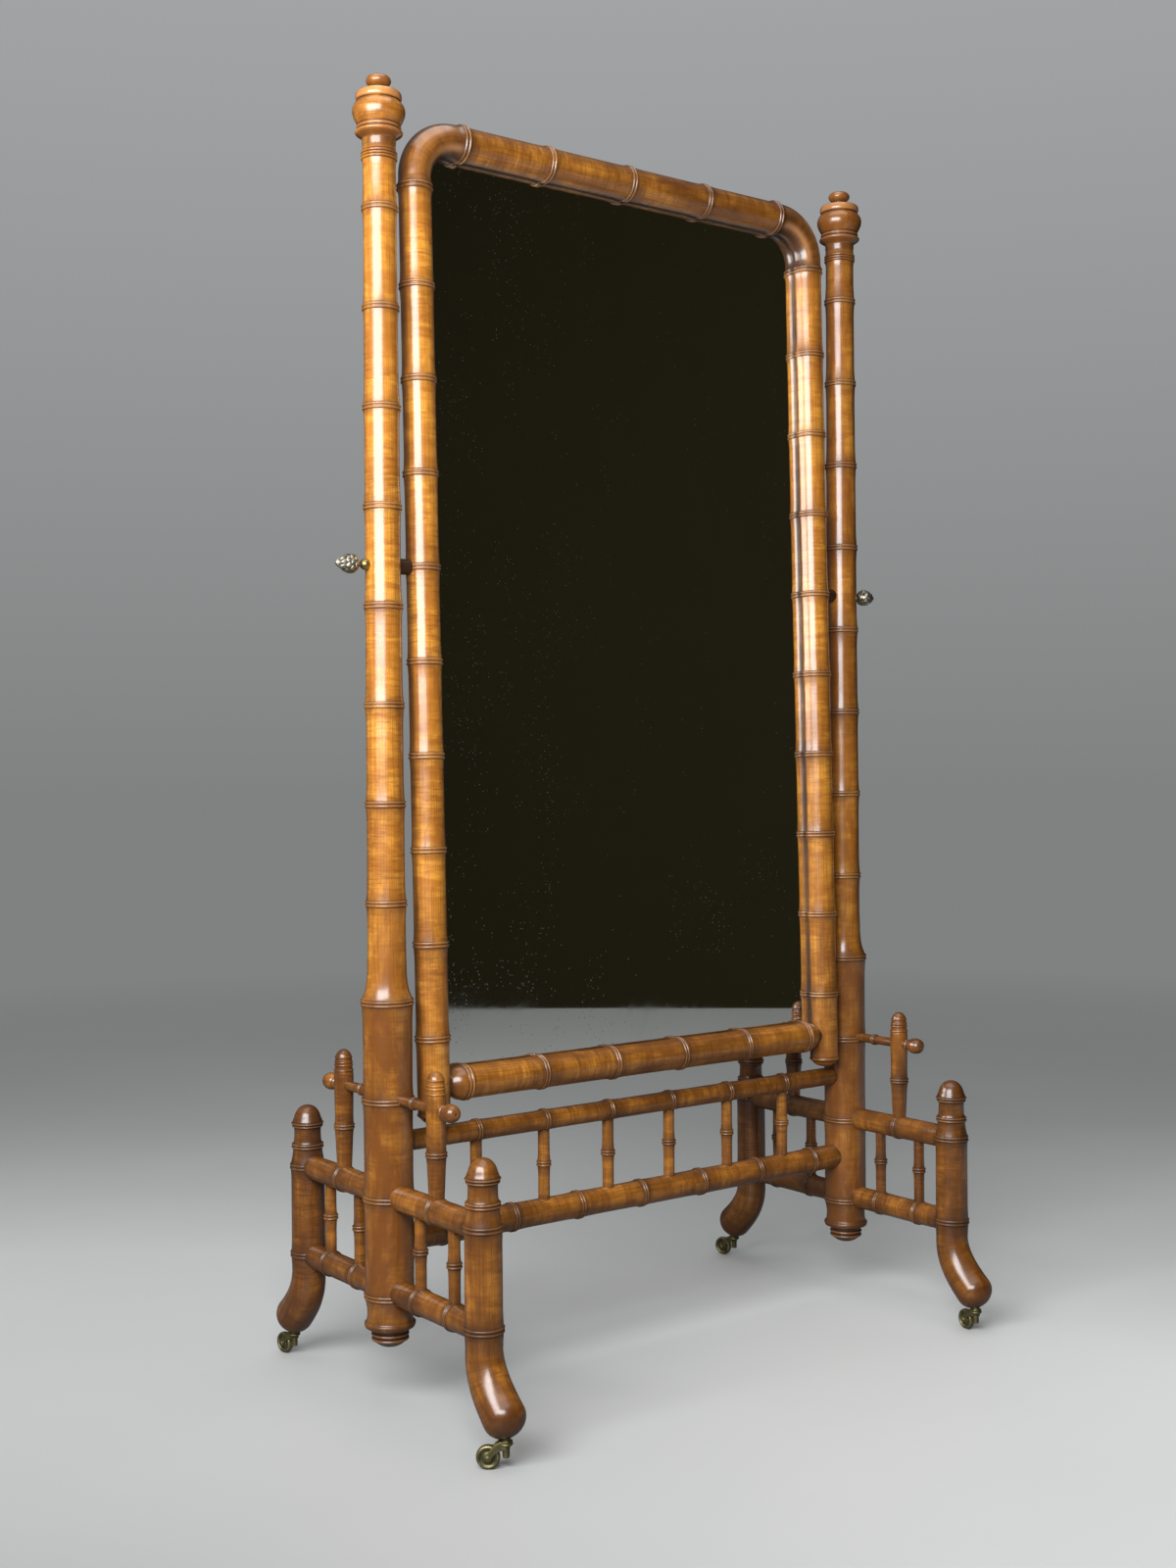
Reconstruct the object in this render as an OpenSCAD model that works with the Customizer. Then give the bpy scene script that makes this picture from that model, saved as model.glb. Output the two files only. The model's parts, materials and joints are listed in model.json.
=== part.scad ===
// Cheval mirror in turned, bamboo-ringed wood: two posts on castered end frames
// carry a tilting frame with a plate of mirror glass. Millimetres, +Z up, the
// origin on the floor midway between the posts; the glass looks towards -Y.

/* [Posts] */
// Distance between the axes of the two posts
post_spacing = 888; // [860:2:930]
// Height of the joint between a post and its finial
post_top = 1754; // [1700:2:1820]
// Height of the joint between a post and the drop below it
post_foot = 114; // [108:1:120]
// Diameter of a post just under the finial
post_top_d = 45.6; // [44:0.2:48]
// Diameter of a post's slim part at its lower end
post_low_d = 53; // [50:0.5:56]
// Diameter of a post's thick lower part
base_d = 68; // [66:0.5:74]
// Height of the lowest double ring on a post
base_ring_z = 158; // [150:0.5:164]
// Distance between the double rings on the thick part
base_pitch = 135.5; // [130:0.5:138]
// Distance between the double rings on the slim part
shaft_pitch = 137; // [132:0.5:139]
// Height of a finial above its post
finial_h = 90; // [84:1:100]
// Greatest diameter of a finial
finial_d = 73; // [68:0.5:80]
// Depth of the drop under a post
drop_h = 28; // [24:0.5:34]
// Greatest diameter of the drop
drop_d = 53; // [48:0.5:56]

/* [Double rings] */
// Height of one bead
bead_h = 3.8; // [3:0.1:4.4]
// Width of the groove between two beads
groove_w = 1.4; // [0.8:0.1:2]
// How far a bead stands proud of its stick
ring_rise = 2.4; // [1.8:0.1:3]
// How far a stick swells up to a bead
flare_rise = 0.9; // [0.4:0.1:1.4]
// Length over which a stick swells up to a bead
flare_len = 24; // [18:1:26]

/* [End frames] */
// Distance from the post axis to the axis of a leg
leg_reach = 235; // [225:1:250]
// Diameter of a leg
leg_d = 49.2; // [47:0.2:52]
// Height of the top of a leg
leg_top = 387.5; // [380:0.5:400]
// Height of the axis of the lower rails
rail_low_z = 165; // [160:0.5:172]
// Height of the axis of the upper rails
rail_up_z = 296.5; // [288:0.5:304]
// Diameter of the rails
rail_d = 35; // [33:0.2:37]
// Distance from the post axis to the axis of a cross post
cross_reach = 124; // [120:1:130]
// Height of the top of a cross post
cross_top = 484; // [476:1:500]
// Diameter of a cross post
cross_d = 28; // [26:0.2:30]
// Height of the pegs above the double ring that they enter
peg_rise = 3.8; // [3:0.1:4.6]
// Diameter of a peg
peg_d = 14; // [12:0.2:15]
// Diameter of the ball on the outer end of a peg
ball_d = 24.4; // [22:0.2:27]
// Distance from the post axis to the middle of a ball
ball_reach = 162; // [158:0.5:168]
// Distance of each end spindle from the cross post, along the rails
end_spindle_step = 42; // [38:1:46]
// Diameter of the end spindles
end_spindle_d = 16.5; // [15:0.1:18]

/* [Feet] */
// Distance from a leg's axis to the middle of its rounded toe
toe_reach = 46; // [42:0.5:48]
// Diameter of the rounded toe
toe_d = 56; // [54:0.5:60]
// Angle through which a leg bends out into its foot, in degrees
foot_turn = 52; // [46:1:58]
// Distance from the leg axis to the stem of its caster
stem_reach = 48; // [42:0.5:50]
// Height of the lowest point of a toe
toe_z = 35.5; // [34.5:0.5:38]
// Height at which the straight leg starts to bend out
bend_top = 123; // [118:1:126]

/* [Stretchers] */
// Diameter of the upper stretcher
stretcher_up_d = 29; // [27:0.2:31]
// Diameter of the lower stretcher
stretcher_low_d = 38.4; // [36:0.2:40]
// Distance between the axes of the two stretchers
stretcher_gap = 134.8; // [128:0.2:142]
// Clear height between the swinging frame and the upper stretcher
swing_clear = 7; // [5:0.5:10]
// Number of spindles between the stretchers
spindle_count = 6; // [4:1:6]
// Distance between the spindles
spindle_pitch = 119.6; // [110:0.2:122]
// Diameter of the spindles
spindle_d = 17.3; // [16:0.1:19]

/* [Mirror frame] */
// Height of the pivot axis
pivot_z = 1169; // [1150:1:1190]
// How far the top of the frame leans back as it stands, in degrees
rest_tilt = 1.27; // [0:0.01:4]
// Clear gap between a post and the stile beside it
pivot_gap = 16.6; // [14:0.2:20]
// Diameter of the stiles
stile_d = 46.6; // [45:0.2:49]
// Diameter of the top rail
top_rail_d = 49.6; // [48:0.2:52]
// Diameter of the bottom rail
bottom_rail_d = 47; // [46:0.2:50]
// Distance from the pivot up to the axis of the top rail
frame_up = 611.5; // [590:0.5:620]
// Distance from the pivot down to the axis of the bottom rail
frame_down = 727; // [710:0.5:740]
// Length of a stile below the axis of the bottom rail
stile_tail = 53; // [46:0.5:58]
// Distance between the double rings on a stile
stile_pitch = 132; // [126:0.5:134]
// Distance between the double rings on the top rail
top_pitch = 152; // [140:0.5:156]
// Distance between the double rings on the bottom rail
bottom_pitch = 132; // [124:0.5:133]
// Bend radius of an elbow's centre line
elbow_bend = 62; // [56:0.5:66]
// Length of an elbow beyond its bend
elbow_end = 14.5; // [13:0.5:18]

/* [Glass and back] */
// Distance of the glass face behind the middle of the frame
glass_set = 8.5; // [6:0.1:9]
// Thickness of the glass
glass_t = 4; // [3:0.1:4.5]
// Distance of the glass edge inside the axes of the frame
glass_edge = 12; // [11:0.1:14]
// Thickness of the backboard
board_t = 6.5; // [5:0.1:7]
// Distance of the backboard's edge inside the axes of the frame
board_edge = 4; // [3:0.1:5]
// Diameter of the backboard screws' shanks
board_screw_d = 3; // [2.6:0.1:3.4]

/* [Pivots] */
// Diameter of a thumb screw's shank
shank_d = 8; // [6:0.1:10]
// Diameter of the round block between post and stile
block_d = 22; // [20:0.2:24]
// Diameter of a thumb screw's ball collar
collar_d = 18.6; // [16:0.2:20]
// Diameter of a thumb screw's leafy knob
knob_d = 28; // [24:0.2:32]
// Length of a thumb screw outside its post
knob_reach = 58; // [52:0.5:66]
// Diameter of the threaded bush in a stile
bush_d = 14; // [12:0.2:16]

/* [Casters] */
// Diameter of a wheel
wheel_d = 31; // [28:0.2:31.6]
// Width of a wheel
wheel_w = 10; // [8:0.2:12]
// Distance from a caster's stem to its axle
trail = 23; // [22:0.2:26]
// Thickness of a horn's cheek
cheek_t = 2; // [1.6:0.1:3]
// Diameter of an axle
axle_d = 4; // [3:0.1:5]
// Diameter of a caster's pintle
pintle_d = 6.5; // [5:0.1:7]
// Diameter of the hub below a caster's pintle
hub_d = 9.5; // [9:0.1:11]
// Swivel of the front left caster, in degrees
swivel_front_left = 140; // [0:1:360]
// Swivel of the back left caster, in degrees
swivel_back_left = 100; // [0:1:360]
// Swivel of the front right caster, in degrees
swivel_front_right = 80; // [0:1:360]
// Swivel of the back right caster, in degrees
swivel_back_right = 106; // [0:1:360]

/* [Fits] */
// Clearance all round a glued joint, and between fixed pieces
joint_clear = 0.05; // [0.02:0.01:0.1]
// Radial clearance of a turning pin
running_clear = 0.06; // [0.03:0.01:0.09]
// How far a bent part of a bar is slimmer than the straight part it grows from
bend_step = 0.2; // [0.1:0.05:0.3]
// Gap between the faces of pieces that turn against each other
face_gap = 0.25; // [0.15:0.05:0.4]

/* [Hidden] */
$fn = 48;

LEFT = -1;
RIGHT = 1;
FRONT = -1;
BACK = 1;

wood_honey = "#C07F2E";
wood_brown = "#8A5A2B";
wood_dark = "#5B3A1E";
brass_aged = "#7C7148";
glass_grey = "#5E6462";
board_brown = "#7A6248";

post_x = post_spacing / 2;
base_rings = 3;
shaft_rings = 8;
bell_z = base_ring_z + base_rings * base_pitch;
shaft_top_z = bell_z + shaft_rings * shaft_pitch;
bell_h = 58;
stub_r = base_d / 2 - 2.6;
neck_ring_drop = 15;

// Where sticks enter the posts and legs: the flat floor of each socket and the
// end of its tenon, both measured from the axis that the stick enters
post_seat = base_d / 2 - 9;
post_tenon = 10;
leg_seat = leg_d / 2 - 9.6;
leg_tenon = 3;
rail_tenon_d = 20;
leg_tenon_d = 18;
spigot_d = 16;
spigot_l = 26;
spigot_slack = 1;
// Where a bent bar starts before its bend, in degrees, and how far the next part laps it
bend_start = 2;
bend_lap = 0.5;

peg_z = base_ring_z + 2 * base_pitch + peg_rise;
cross_foot_d = cross_d * 0.75;
cross_tenon_d = 12;
cross_seat = rail_d / 2 - 6.5;
cross_tenon_end = 1;
spindle_seat = rail_d / 2 - 8.5;
peg_seat = cross_d / 2 - 5;
peg_tenon_d = 9;
peg_meet = 0.4;

stretcher_up_z = pivot_z - frame_down - stile_tail - swing_clear - stretcher_up_d / 2;
stretcher_low_z = stretcher_up_z - stretcher_gap;
stretcher_tenon_d = 16;
spindle_up_seat = stretcher_up_d / 2 - 7;
spindle_low_seat = stretcher_low_d / 2 - 8;

function shaft_r(z) = let (t = (shaft_top_z - z) / (shaft_top_z - bell_z))
    (post_top_d * (1 - t) + post_low_d * t) / 2;
post_r_at_pivot = shaft_r(pivot_z);
stile_x = post_x - post_r_at_pivot - pivot_gap - stile_d / 2;
corner_x = stile_x - elbow_bend;
corner_s = frame_up - elbow_bend;
elbow_joint_x = corner_x - elbow_end;
elbow_joint_s = corner_s - elbow_end;
elbow_r = (stile_d + top_rail_d) / 4;
dowel_d = 12;
dowel_l = 40;
neck_d = 30;
neck_seat = 16;
neck_tenon_d = 17;
neck_tenon = 2;
end_ring_x = 2.5 * bottom_pitch;

board_set = glass_set + glass_t + 0.3;
board_back = board_set + board_t;
rebate_back = stile_d;
board_screw_edge = (board_edge + glass_edge) / 2;
board_screw_l = board_t + 9;
board_screw_head_d = 2.1 * board_screw_d;

block_post_seat = sqrt(pow(post_r_at_pivot, 2) - pow(block_d / 2 + face_gap, 2)) - 0.1;
collar_post_seat = sqrt(pow(post_r_at_pivot, 2) - pow(collar_d / 2 + face_gap, 2)) - 0.1;
block_stile_seat = sqrt(pow(stile_d / 2, 2) - pow(block_d / 2 + joint_clear, 2)) - 0.3;
bush_end = glass_edge - 5;

stem_y = leg_reach + stem_reach;
foot_ball_z = toe_z + toe_d / 2;
socket_flange_d = 17;
socket_flange_t = 2;
socket_d = 11;
socket_l = 26;
socket_face = toe_z - 1;
pintle_l = 22;
hub_z = wheel_d / 2 - 1;
horn_top = socket_face - face_gap;
cheek_y = wheel_w / 2 + 0.4;
boss_r = axle_d / 2 + 3;
web_x = trail - wheel_d / 2 - 0.8;
head_t = 0.7;

// One bead as a half round, from its lower edge to its upper edge
function bead(z, foot_r, crest_r, h) =
    [for (i = [0:4]) let (a = i * 45) [foot_r + (crest_r - foot_r) * sin(a), z - h / 2 * cos(a)]];
// A curved swelling from radius r0 at z0 to r1 at z1, steepest at its end
function flare(z0, z1, r0, r1, n = 3) =
    [for (i = [0:n - 1]) let (t = i / n) [r0 + (r1 - r0) * t * t, z0 + (z1 - z0) * t]];
function flipped(points, z) =
    [for (i = [len(points) - 1:-1:0]) [points[i][0], 2 * z - points[i][1]]];
// The lower half of a double ring: the swelling and the bead up to the groove
function half_ring(z, r, len = flare_len) = concat(
    flare(z - len, z - groove_w / 2 - bead_h, r, r + flare_rise),
    bead(z - (groove_w + bead_h) / 2, r + flare_rise, r + ring_rise, bead_h));
function double_ring(z, r_low, r_high, len = flare_len) =
    concat(half_ring(z, r_low, len), flipped(half_ring(z, r_high, len), z));

// A turned stick on the Z axis from a list of [radius, height]
module stick(points) {
    rotate_extrude()
        polygon(concat([[0, points[0][1]]], points, [[0, points[len(points) - 1][1]]]));
}
// The same stick laid along +X or +Y
module along_x() { rotate([0, 90, 0]) children(); }
module along_y() { rotate([-90, 0, 0]) children(); }
// A bent bar about Z that starts a little before the X axis, inside the part it grows from
module bend(bend_r, bar_r, turn) {
    rotate([0, 0, -bend_start])
        rotate_extrude(angle = turn + bend_start) translate([bend_r, 0]) circle(r = bar_r - bend_step);
}
// A stepped socket along Z: a wide part down to its seat and a narrow one beyond
module socket(mouth, seat, end, wide_d, narrow_d) {
    translate([0, 0, seat]) cylinder(d = wide_d + 2 * joint_clear, h = mouth - seat);
    translate([0, 0, end]) cylinder(d = narrow_d + 2 * joint_clear, h = seat - end + 1);
}
module on_post(side) { translate([side * post_x, 0, 0]) children(); }
module on_leg(side, face) { translate([side * post_x, face * leg_reach, 0]) children(); }
// The mirror frame's own axes: the pivot at its origin, leaning as it stands
module in_frame() { translate([0, 0, pivot_z]) rotate([-rest_tilt, 0, 0]) children(); }

// Posts

post_points = concat(
    [[stub_r + 1, post_foot]],
    bead(post_foot + 4.5, stub_r + 1.2, base_d / 2 + 1.8, 7),
    flipped(flare(post_foot + 8, post_foot + 26, stub_r - 0.4, stub_r + 1.2, 4), post_foot + 17),
    double_ring(base_ring_z, stub_r - 0.4, base_d / 2, bead_h * 4),
    [for (i = [1:base_rings - 1])
        each double_ring(base_ring_z + i * base_pitch, base_d / 2, base_d / 2)],
    half_ring(bell_z, base_d / 2),
    [each flipped(bead(bell_z - (groove_w + bead_h) / 2, base_d / 2 + flare_rise,
        base_d / 2 + ring_rise, bead_h), bell_z)],
    flipped(flare(bell_z - bell_h, bell_z - groove_w / 2 - bead_h,
        shaft_r(bell_z + bell_h), base_d / 2 + flare_rise, 7), bell_z),
    [for (i = [1:shaft_rings]) let (z = bell_z + i * shaft_pitch)
        each double_ring(z, shaft_r(z), shaft_r(z))],
    double_ring(post_top - neck_ring_drop, post_top_d / 2 - 0.4, post_top_d / 2 - 0.4, 12),
    [[post_top_d / 2, post_top]]);

module post(side) {
    color(wood_honey) difference() {
        on_post(side) stick(post_points);
        on_post(side) {
            // Spigot holes for the finial and the drop
            translate([0, 0, post_top - spigot_l - spigot_slack])
                cylinder(d = spigot_d + 2 * joint_clear, h = spigot_l + spigot_slack + 1);
            translate([0, 0, post_foot - 1])
                cylinder(d = spigot_d + 2 * joint_clear, h = spigot_l + spigot_slack + 1);
            // Sockets of the end frame's rails and pegs
            for (face = [FRONT, BACK]) {
                for (z = [rail_low_z, rail_up_z])
                    translate([0, 0, z]) rotate([-90 * face, 0, 0])
                        socket(base_d, post_seat, post_tenon, rail_d, rail_tenon_d);
                translate([0, 0, peg_z]) rotate([-90 * face, 0, 0])
                    socket(base_d, post_seat, post_tenon, peg_d, peg_tenon_d);
            }
            // Sockets of the stretchers
            translate([0, 0, stretcher_up_z]) rotate([0, -90 * side, 0])
                socket(base_d, post_seat, post_tenon, stretcher_up_d, stretcher_tenon_d);
            translate([0, 0, stretcher_low_z]) rotate([0, -90 * side, 0])
                socket(base_d, post_seat, post_tenon, stretcher_low_d, stretcher_tenon_d);
            // Bore of the thumb screw and the flats that its collar and block bear on
            translate([0, 0, pivot_z]) {
                translate([-base_d / 2, 0, 0]) along_x()
                    cylinder(d = shank_d + 2 * running_clear, h = base_d);
                rotate([0, -90 * side, 0]) translate([0, 0, block_post_seat])
                    cylinder(d = block_d + 2 * face_gap, h = base_d / 2);
                rotate([0, 90 * side, 0]) translate([0, 0, collar_post_seat])
                    cylinder(d = collar_d + 2 * face_gap, h = base_d / 2);
            }
        }
    }
}
module post_left() { post(LEFT); }
module post_right() { post(RIGHT); }

// Finials: a collar, an urn, a disc and a knob, each height a share of the finial's
finial_k = finial_h / 90;
urn_r = finial_d / 2;
finial_points = concat(
    [[post_top_d / 2 + 0.4, 0]],
    flare(0.8 * finial_k, 7 * finial_k, post_top_d / 2 + 0.4, urn_r - 4.5, 3),
    bead(9 * finial_k, urn_r - 5.5, urn_r - 3.3, 4.4 * finial_k),
    bead(13.6 * finial_k, urn_r - 5.9, urn_r - 4.6, 2.6 * finial_k),
    bead(17.6 * finial_k, urn_r - 4.8, urn_r - 3.3, 3.2 * finial_k),
    [for (a = [-48:16:64]) [urn_r - 13 + 13 * cos(a), (36.5 + 20.5 * sin(a)) * finial_k]],
    [for (a = [-60:30:60]) [urn_r - 7.6 + 3.2 * cos(a), (60 + 5.4 * sin(a)) * finial_k]],
    [[urn_r - 14, 67.6 * finial_k], [urn_r - 23, 69 * finial_k], [10.2, 70.6 * finial_k],
     [10.2, 73 * finial_k]],
    [for (a = [-45:15:75]) [8 + 9.6 * cos(a), (80.5 + 9 * sin(a)) * finial_k]],
    [[5, 89.8 * finial_k], [0.4, finial_h]]);
module finial(side) {
    color(wood_honey) translate([side * post_x, 0, post_top]) {
        stick(finial_points);
        translate([0, 0, -spigot_l]) cylinder(d = spigot_d, h = spigot_l + 2);
    }
}
module finial_left() { finial(LEFT); }
module finial_right() { finial(RIGHT); }

// Drops: two small rings over a blunt button
drop_k = drop_h / 28;
drop_points = concat(
    [[1, -drop_h], [8 * drop_d / 53, -27.4 * drop_k], [0.24 * drop_d, -26 * drop_k],
     [0.38 * drop_d, -20.6 * drop_k], [drop_d / 2 - 2.4, -17.6 * drop_k]],
    bead(-15.4 * drop_k, drop_d / 2 - 2.2, drop_d / 2, 4.2 * drop_k),
    bead(-9.6 * drop_k, drop_d / 2 - 2.2, drop_d / 2, 4.2 * drop_k),
    [[drop_d / 2 - 2, -5 * drop_k], [drop_d / 2 - 0.6, -2 * drop_k], [drop_d / 2 - 0.6, 0]]);
module drop(side) {
    color(wood_brown) translate([side * post_x, 0, post_foot]) {
        stick(drop_points);
        translate([0, 0, -2]) cylinder(d = spigot_d, h = spigot_l + 2);
    }
}
module drop_left() { drop(LEFT); }
module drop_right() { drop(RIGHT); }

// Legs: a domed, ringed stick that ends in a bent-out, rounded foot

leg_r = leg_d / 2;
dome_r = leg_r - 3.6;
dome_z = leg_top - 22;
leg_ring_2 = rail_up_z + 31;
leg_ring_1 = rail_up_z + 62;
leg_points = concat(
    [[leg_r, bend_top]],
    double_ring(rail_low_z, leg_r, leg_r),
    half_ring(rail_up_z, leg_r),
    flipped(half_ring(rail_up_z, leg_r - 1.4, 14), rail_up_z),
    double_ring(leg_ring_2, leg_r - 3, leg_r - 4.4, 11),
    double_ring(leg_ring_1, leg_r - 4.6, leg_r - 3.8, 7),
    [for (a = [10:16:74]) [dome_r * cos(a), dome_z + (leg_top - dome_z) * sin(a)]],
    [[0.4, leg_top]]);

// The foot's centre line: a bend through foot_turn, then straight to the toe's middle
foot_bend = ((bend_top - foot_ball_z) * sin(foot_turn) - toe_reach * cos(foot_turn))
    / (1 - cos(foot_turn));
toe_l = (toe_reach - foot_bend * (1 - cos(foot_turn))) / sin(foot_turn);
toe_r = toe_d / 2;
toe_points = concat(
    [[leg_r, -bend_lap], [(leg_r + toe_r) / 2 + 0.5, toe_l / 2], [toe_r, toe_l]],
    [for (a = [15:15:75]) [toe_r * cos(a), toe_l + toe_r * sin(a)]],
    [[0.4, toe_l + toe_r]]);
module foot() {
    translate([0, foot_bend, bend_top]) rotate([0, 90, 0]) rotate([0, 0, -90]) {
        bend(foot_bend, leg_r, foot_turn);
        rotate([0, 0, foot_turn]) translate([foot_bend, 0, 0]) rotate([-90, 0, 0])
            stick(toe_points);
    }
}

module leg(side, face) {
    color(wood_brown) difference() {
        on_leg(side, face) {
            stick(leg_points);
            rotate([0, 0, face == FRONT ? 180 : 0]) foot();
        }
        // Sockets of the rails, on the side towards the post
        for (z = [rail_low_z, rail_up_z])
            on_leg(side, face) translate([0, 0, z]) rotate([90 * face, 0, 0])
                socket(leg_d, leg_seat, leg_tenon, rail_d, leg_tenon_d);
        // Hole of the caster's socket
        translate([side * post_x, face * stem_y, 0]) {
            translate([0, 0, socket_face - 1])
                cylinder(d = socket_flange_d + 2 * joint_clear,
                    h = socket_flange_t + 1 + joint_clear);
            translate([0, 0, socket_face])
                cylinder(d = socket_d + 2 * joint_clear, h = socket_l + joint_clear);
        }
    }
}
module leg_front_left() { leg(LEFT, FRONT); }
module leg_back_left() { leg(LEFT, BACK); }
module leg_front_right() { leg(RIGHT, FRONT); }
module leg_back_right() { leg(RIGHT, BACK); }

// Rails of the end frames, along Y from the post's seat to the leg's seat

rail_r = rail_d / 2;
spindle_y = [cross_reach - end_spindle_step, cross_reach + end_spindle_step];
module rail_stick(rings) {
    along_y() {
        stick(concat([[rail_r, post_seat]],
            [for (y = rings) each double_ring(y, rail_r, rail_r, flare_len * 0.7)],
            [[rail_r, leg_reach - leg_seat]]));
        translate([0, 0, post_tenon + joint_clear]) cylinder(d = rail_tenon_d, h = post_seat);
        translate([0, 0, leg_reach - leg_seat - 2])
            cylinder(d = leg_tenon_d, h = leg_seat - leg_tenon + 2 - joint_clear);
    }
}
module rail_upper(side, face) {
    color(wood_brown) translate([side * post_x, 0, rail_up_z])
        rotate([0, 0, face == FRONT ? 180 : 0]) difference() {
            rail_stick([cross_reach]);
            translate([0, cross_reach, 0])
                socket(rail_d, cross_seat, cross_tenon_end, cross_foot_d, cross_tenon_d);
            for (y = spindle_y) translate([0, y, -rail_d])
                cylinder(d = end_spindle_d + 2 * joint_clear, h = rail_d - spindle_seat);
        }
}
module rail_lower(side, face) {
    color(wood_brown) translate([side * post_x, 0, rail_low_z])
        rotate([0, 0, face == FRONT ? 180 : 0]) difference() {
            rail_stick(spindle_y);
            for (y = spindle_y) translate([0, y, spindle_seat])
                cylinder(d = end_spindle_d + 2 * joint_clear, h = rail_d - spindle_seat);
        }
}
module rail_upper_front_left() { rail_upper(LEFT, FRONT); }
module rail_upper_back_left() { rail_upper(LEFT, BACK); }
module rail_upper_front_right() { rail_upper(RIGHT, FRONT); }
module rail_upper_back_right() { rail_upper(RIGHT, BACK); }
module rail_lower_front_left() { rail_lower(LEFT, FRONT); }
module rail_lower_back_left() { rail_lower(LEFT, BACK); }
module rail_lower_front_right() { rail_lower(RIGHT, FRONT); }
module rail_lower_back_right() { rail_lower(RIGHT, BACK); }

// A spindle between two heights, ringed halfway
module spindle(z0, z1, d) {
    stick(concat([[d / 2, z0]], double_ring((z0 + z1) / 2, d / 2, d / 2, flare_len * 0.6),
        [[d / 2, z1]]));
}
module end_spindles(side) {
    color(wood_brown) for (face = [FRONT, BACK], y = spindle_y)
        translate([side * post_x, face * y, 0])
            spindle(rail_low_z + spindle_seat, rail_up_z - spindle_seat, end_spindle_d);
}
module end_spindles_left() { end_spindles(LEFT); }
module end_spindles_right() { end_spindles(RIGHT); }

// Cross posts: a tapered foot, a ring halfway, the peg's swelling and a ringed dome

cross_r = cross_d / 2;
cross_mid_z = peg_z - 60;
cross_cap = cross_top - peg_z;
cross_points = concat(
    [[cross_foot_d / 2, rail_up_z + cross_seat], [cross_foot_d / 2, rail_up_z + rail_d / 2 + 4]],
    half_ring(cross_mid_z, cross_r - 1.2, 30),
    flipped(half_ring(cross_mid_z, cross_r - 1, 18), cross_mid_z),
    half_ring(peg_z - peg_d / 2 - 2, cross_r - 0.6, 26),
    [[cross_r + 0.2, peg_z - peg_d / 2], [cross_r + 0.2, peg_z + peg_d / 2 + 4]],
    bead(peg_z + 0.42 * cross_cap, cross_r - 1.6, cross_r, bead_h),
    bead(peg_z + 0.52 * cross_cap, cross_r - 2.2, cross_r - 0.4, bead_h),
    [[cross_r - 3.2, peg_z + 0.6 * cross_cap]],
    bead(peg_z + 0.67 * cross_cap, cross_r - 3, cross_r - 1.2, bead_h),
    [for (a = [6:17:74]) [(cross_r - 2.4) * cos(a),
        peg_z + (0.72 + 0.28 * sin(a)) * cross_cap]],
    [[0.4, cross_top]]);
module cross_post(side, face) {
    color(wood_brown) translate([side * post_x, face * cross_reach, 0]) difference() {
        union() {
            stick(cross_points);
            translate([0, 0, rail_up_z + cross_tenon_end + joint_clear])
                cylinder(d = cross_tenon_d, h = cross_seat);
        }
        translate([0, 0, peg_z]) for (a = [-90, 90]) rotate([a, 0, 0])
            socket(cross_d, peg_seat, 0, peg_d, peg_tenon_d);
    }
}
module cross_post_front_left() { cross_post(LEFT, FRONT); }
module cross_post_back_left() { cross_post(LEFT, BACK); }
module cross_post_front_right() { cross_post(RIGHT, FRONT); }
module cross_post_back_right() { cross_post(RIGHT, BACK); }

// Pegs between the posts and the cross posts, and the balls outside them
peg_r = peg_d / 2;
module cross_pegs() {
    color(wood_brown) for (side = [LEFT, RIGHT], face = [FRONT, BACK])
        translate([side * post_x, 0, peg_z]) rotate([-90 * face, 0, 0]) {
            stick(concat([[peg_r, post_seat]],
                double_ring((post_seat + cross_reach - peg_seat) / 2, peg_r, peg_r, 14),
                [[peg_r, cross_reach - peg_seat]]));
            translate([0, 0, post_tenon + joint_clear])
                cylinder(d = peg_tenon_d, h = cross_reach - post_tenon - joint_clear - peg_meet);
        }
}
ball_r = ball_d / 2;
module cross_balls() {
    color(wood_brown) for (side = [LEFT, RIGHT], face = [FRONT, BACK])
        translate([side * post_x, 0, peg_z]) rotate([-90 * face, 0, 0]) {
            stick(concat([[peg_r, cross_reach + peg_seat]],
                [[peg_r, cross_reach + cross_r + 2]],
                bead(cross_reach + cross_r + 4.2, peg_r, peg_r + 1.8, bead_h),
                [for (a = [-50:20:70]) [ball_r * cos(a), ball_reach + ball_r * sin(a)]],
                [[0.4, ball_reach + ball_r]]));
            translate([0, 0, cross_reach + peg_meet])
                cylinder(d = peg_tenon_d, h = peg_seat + 2);
        }
}

// Stretchers between the posts and the spindles between the stretchers

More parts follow.
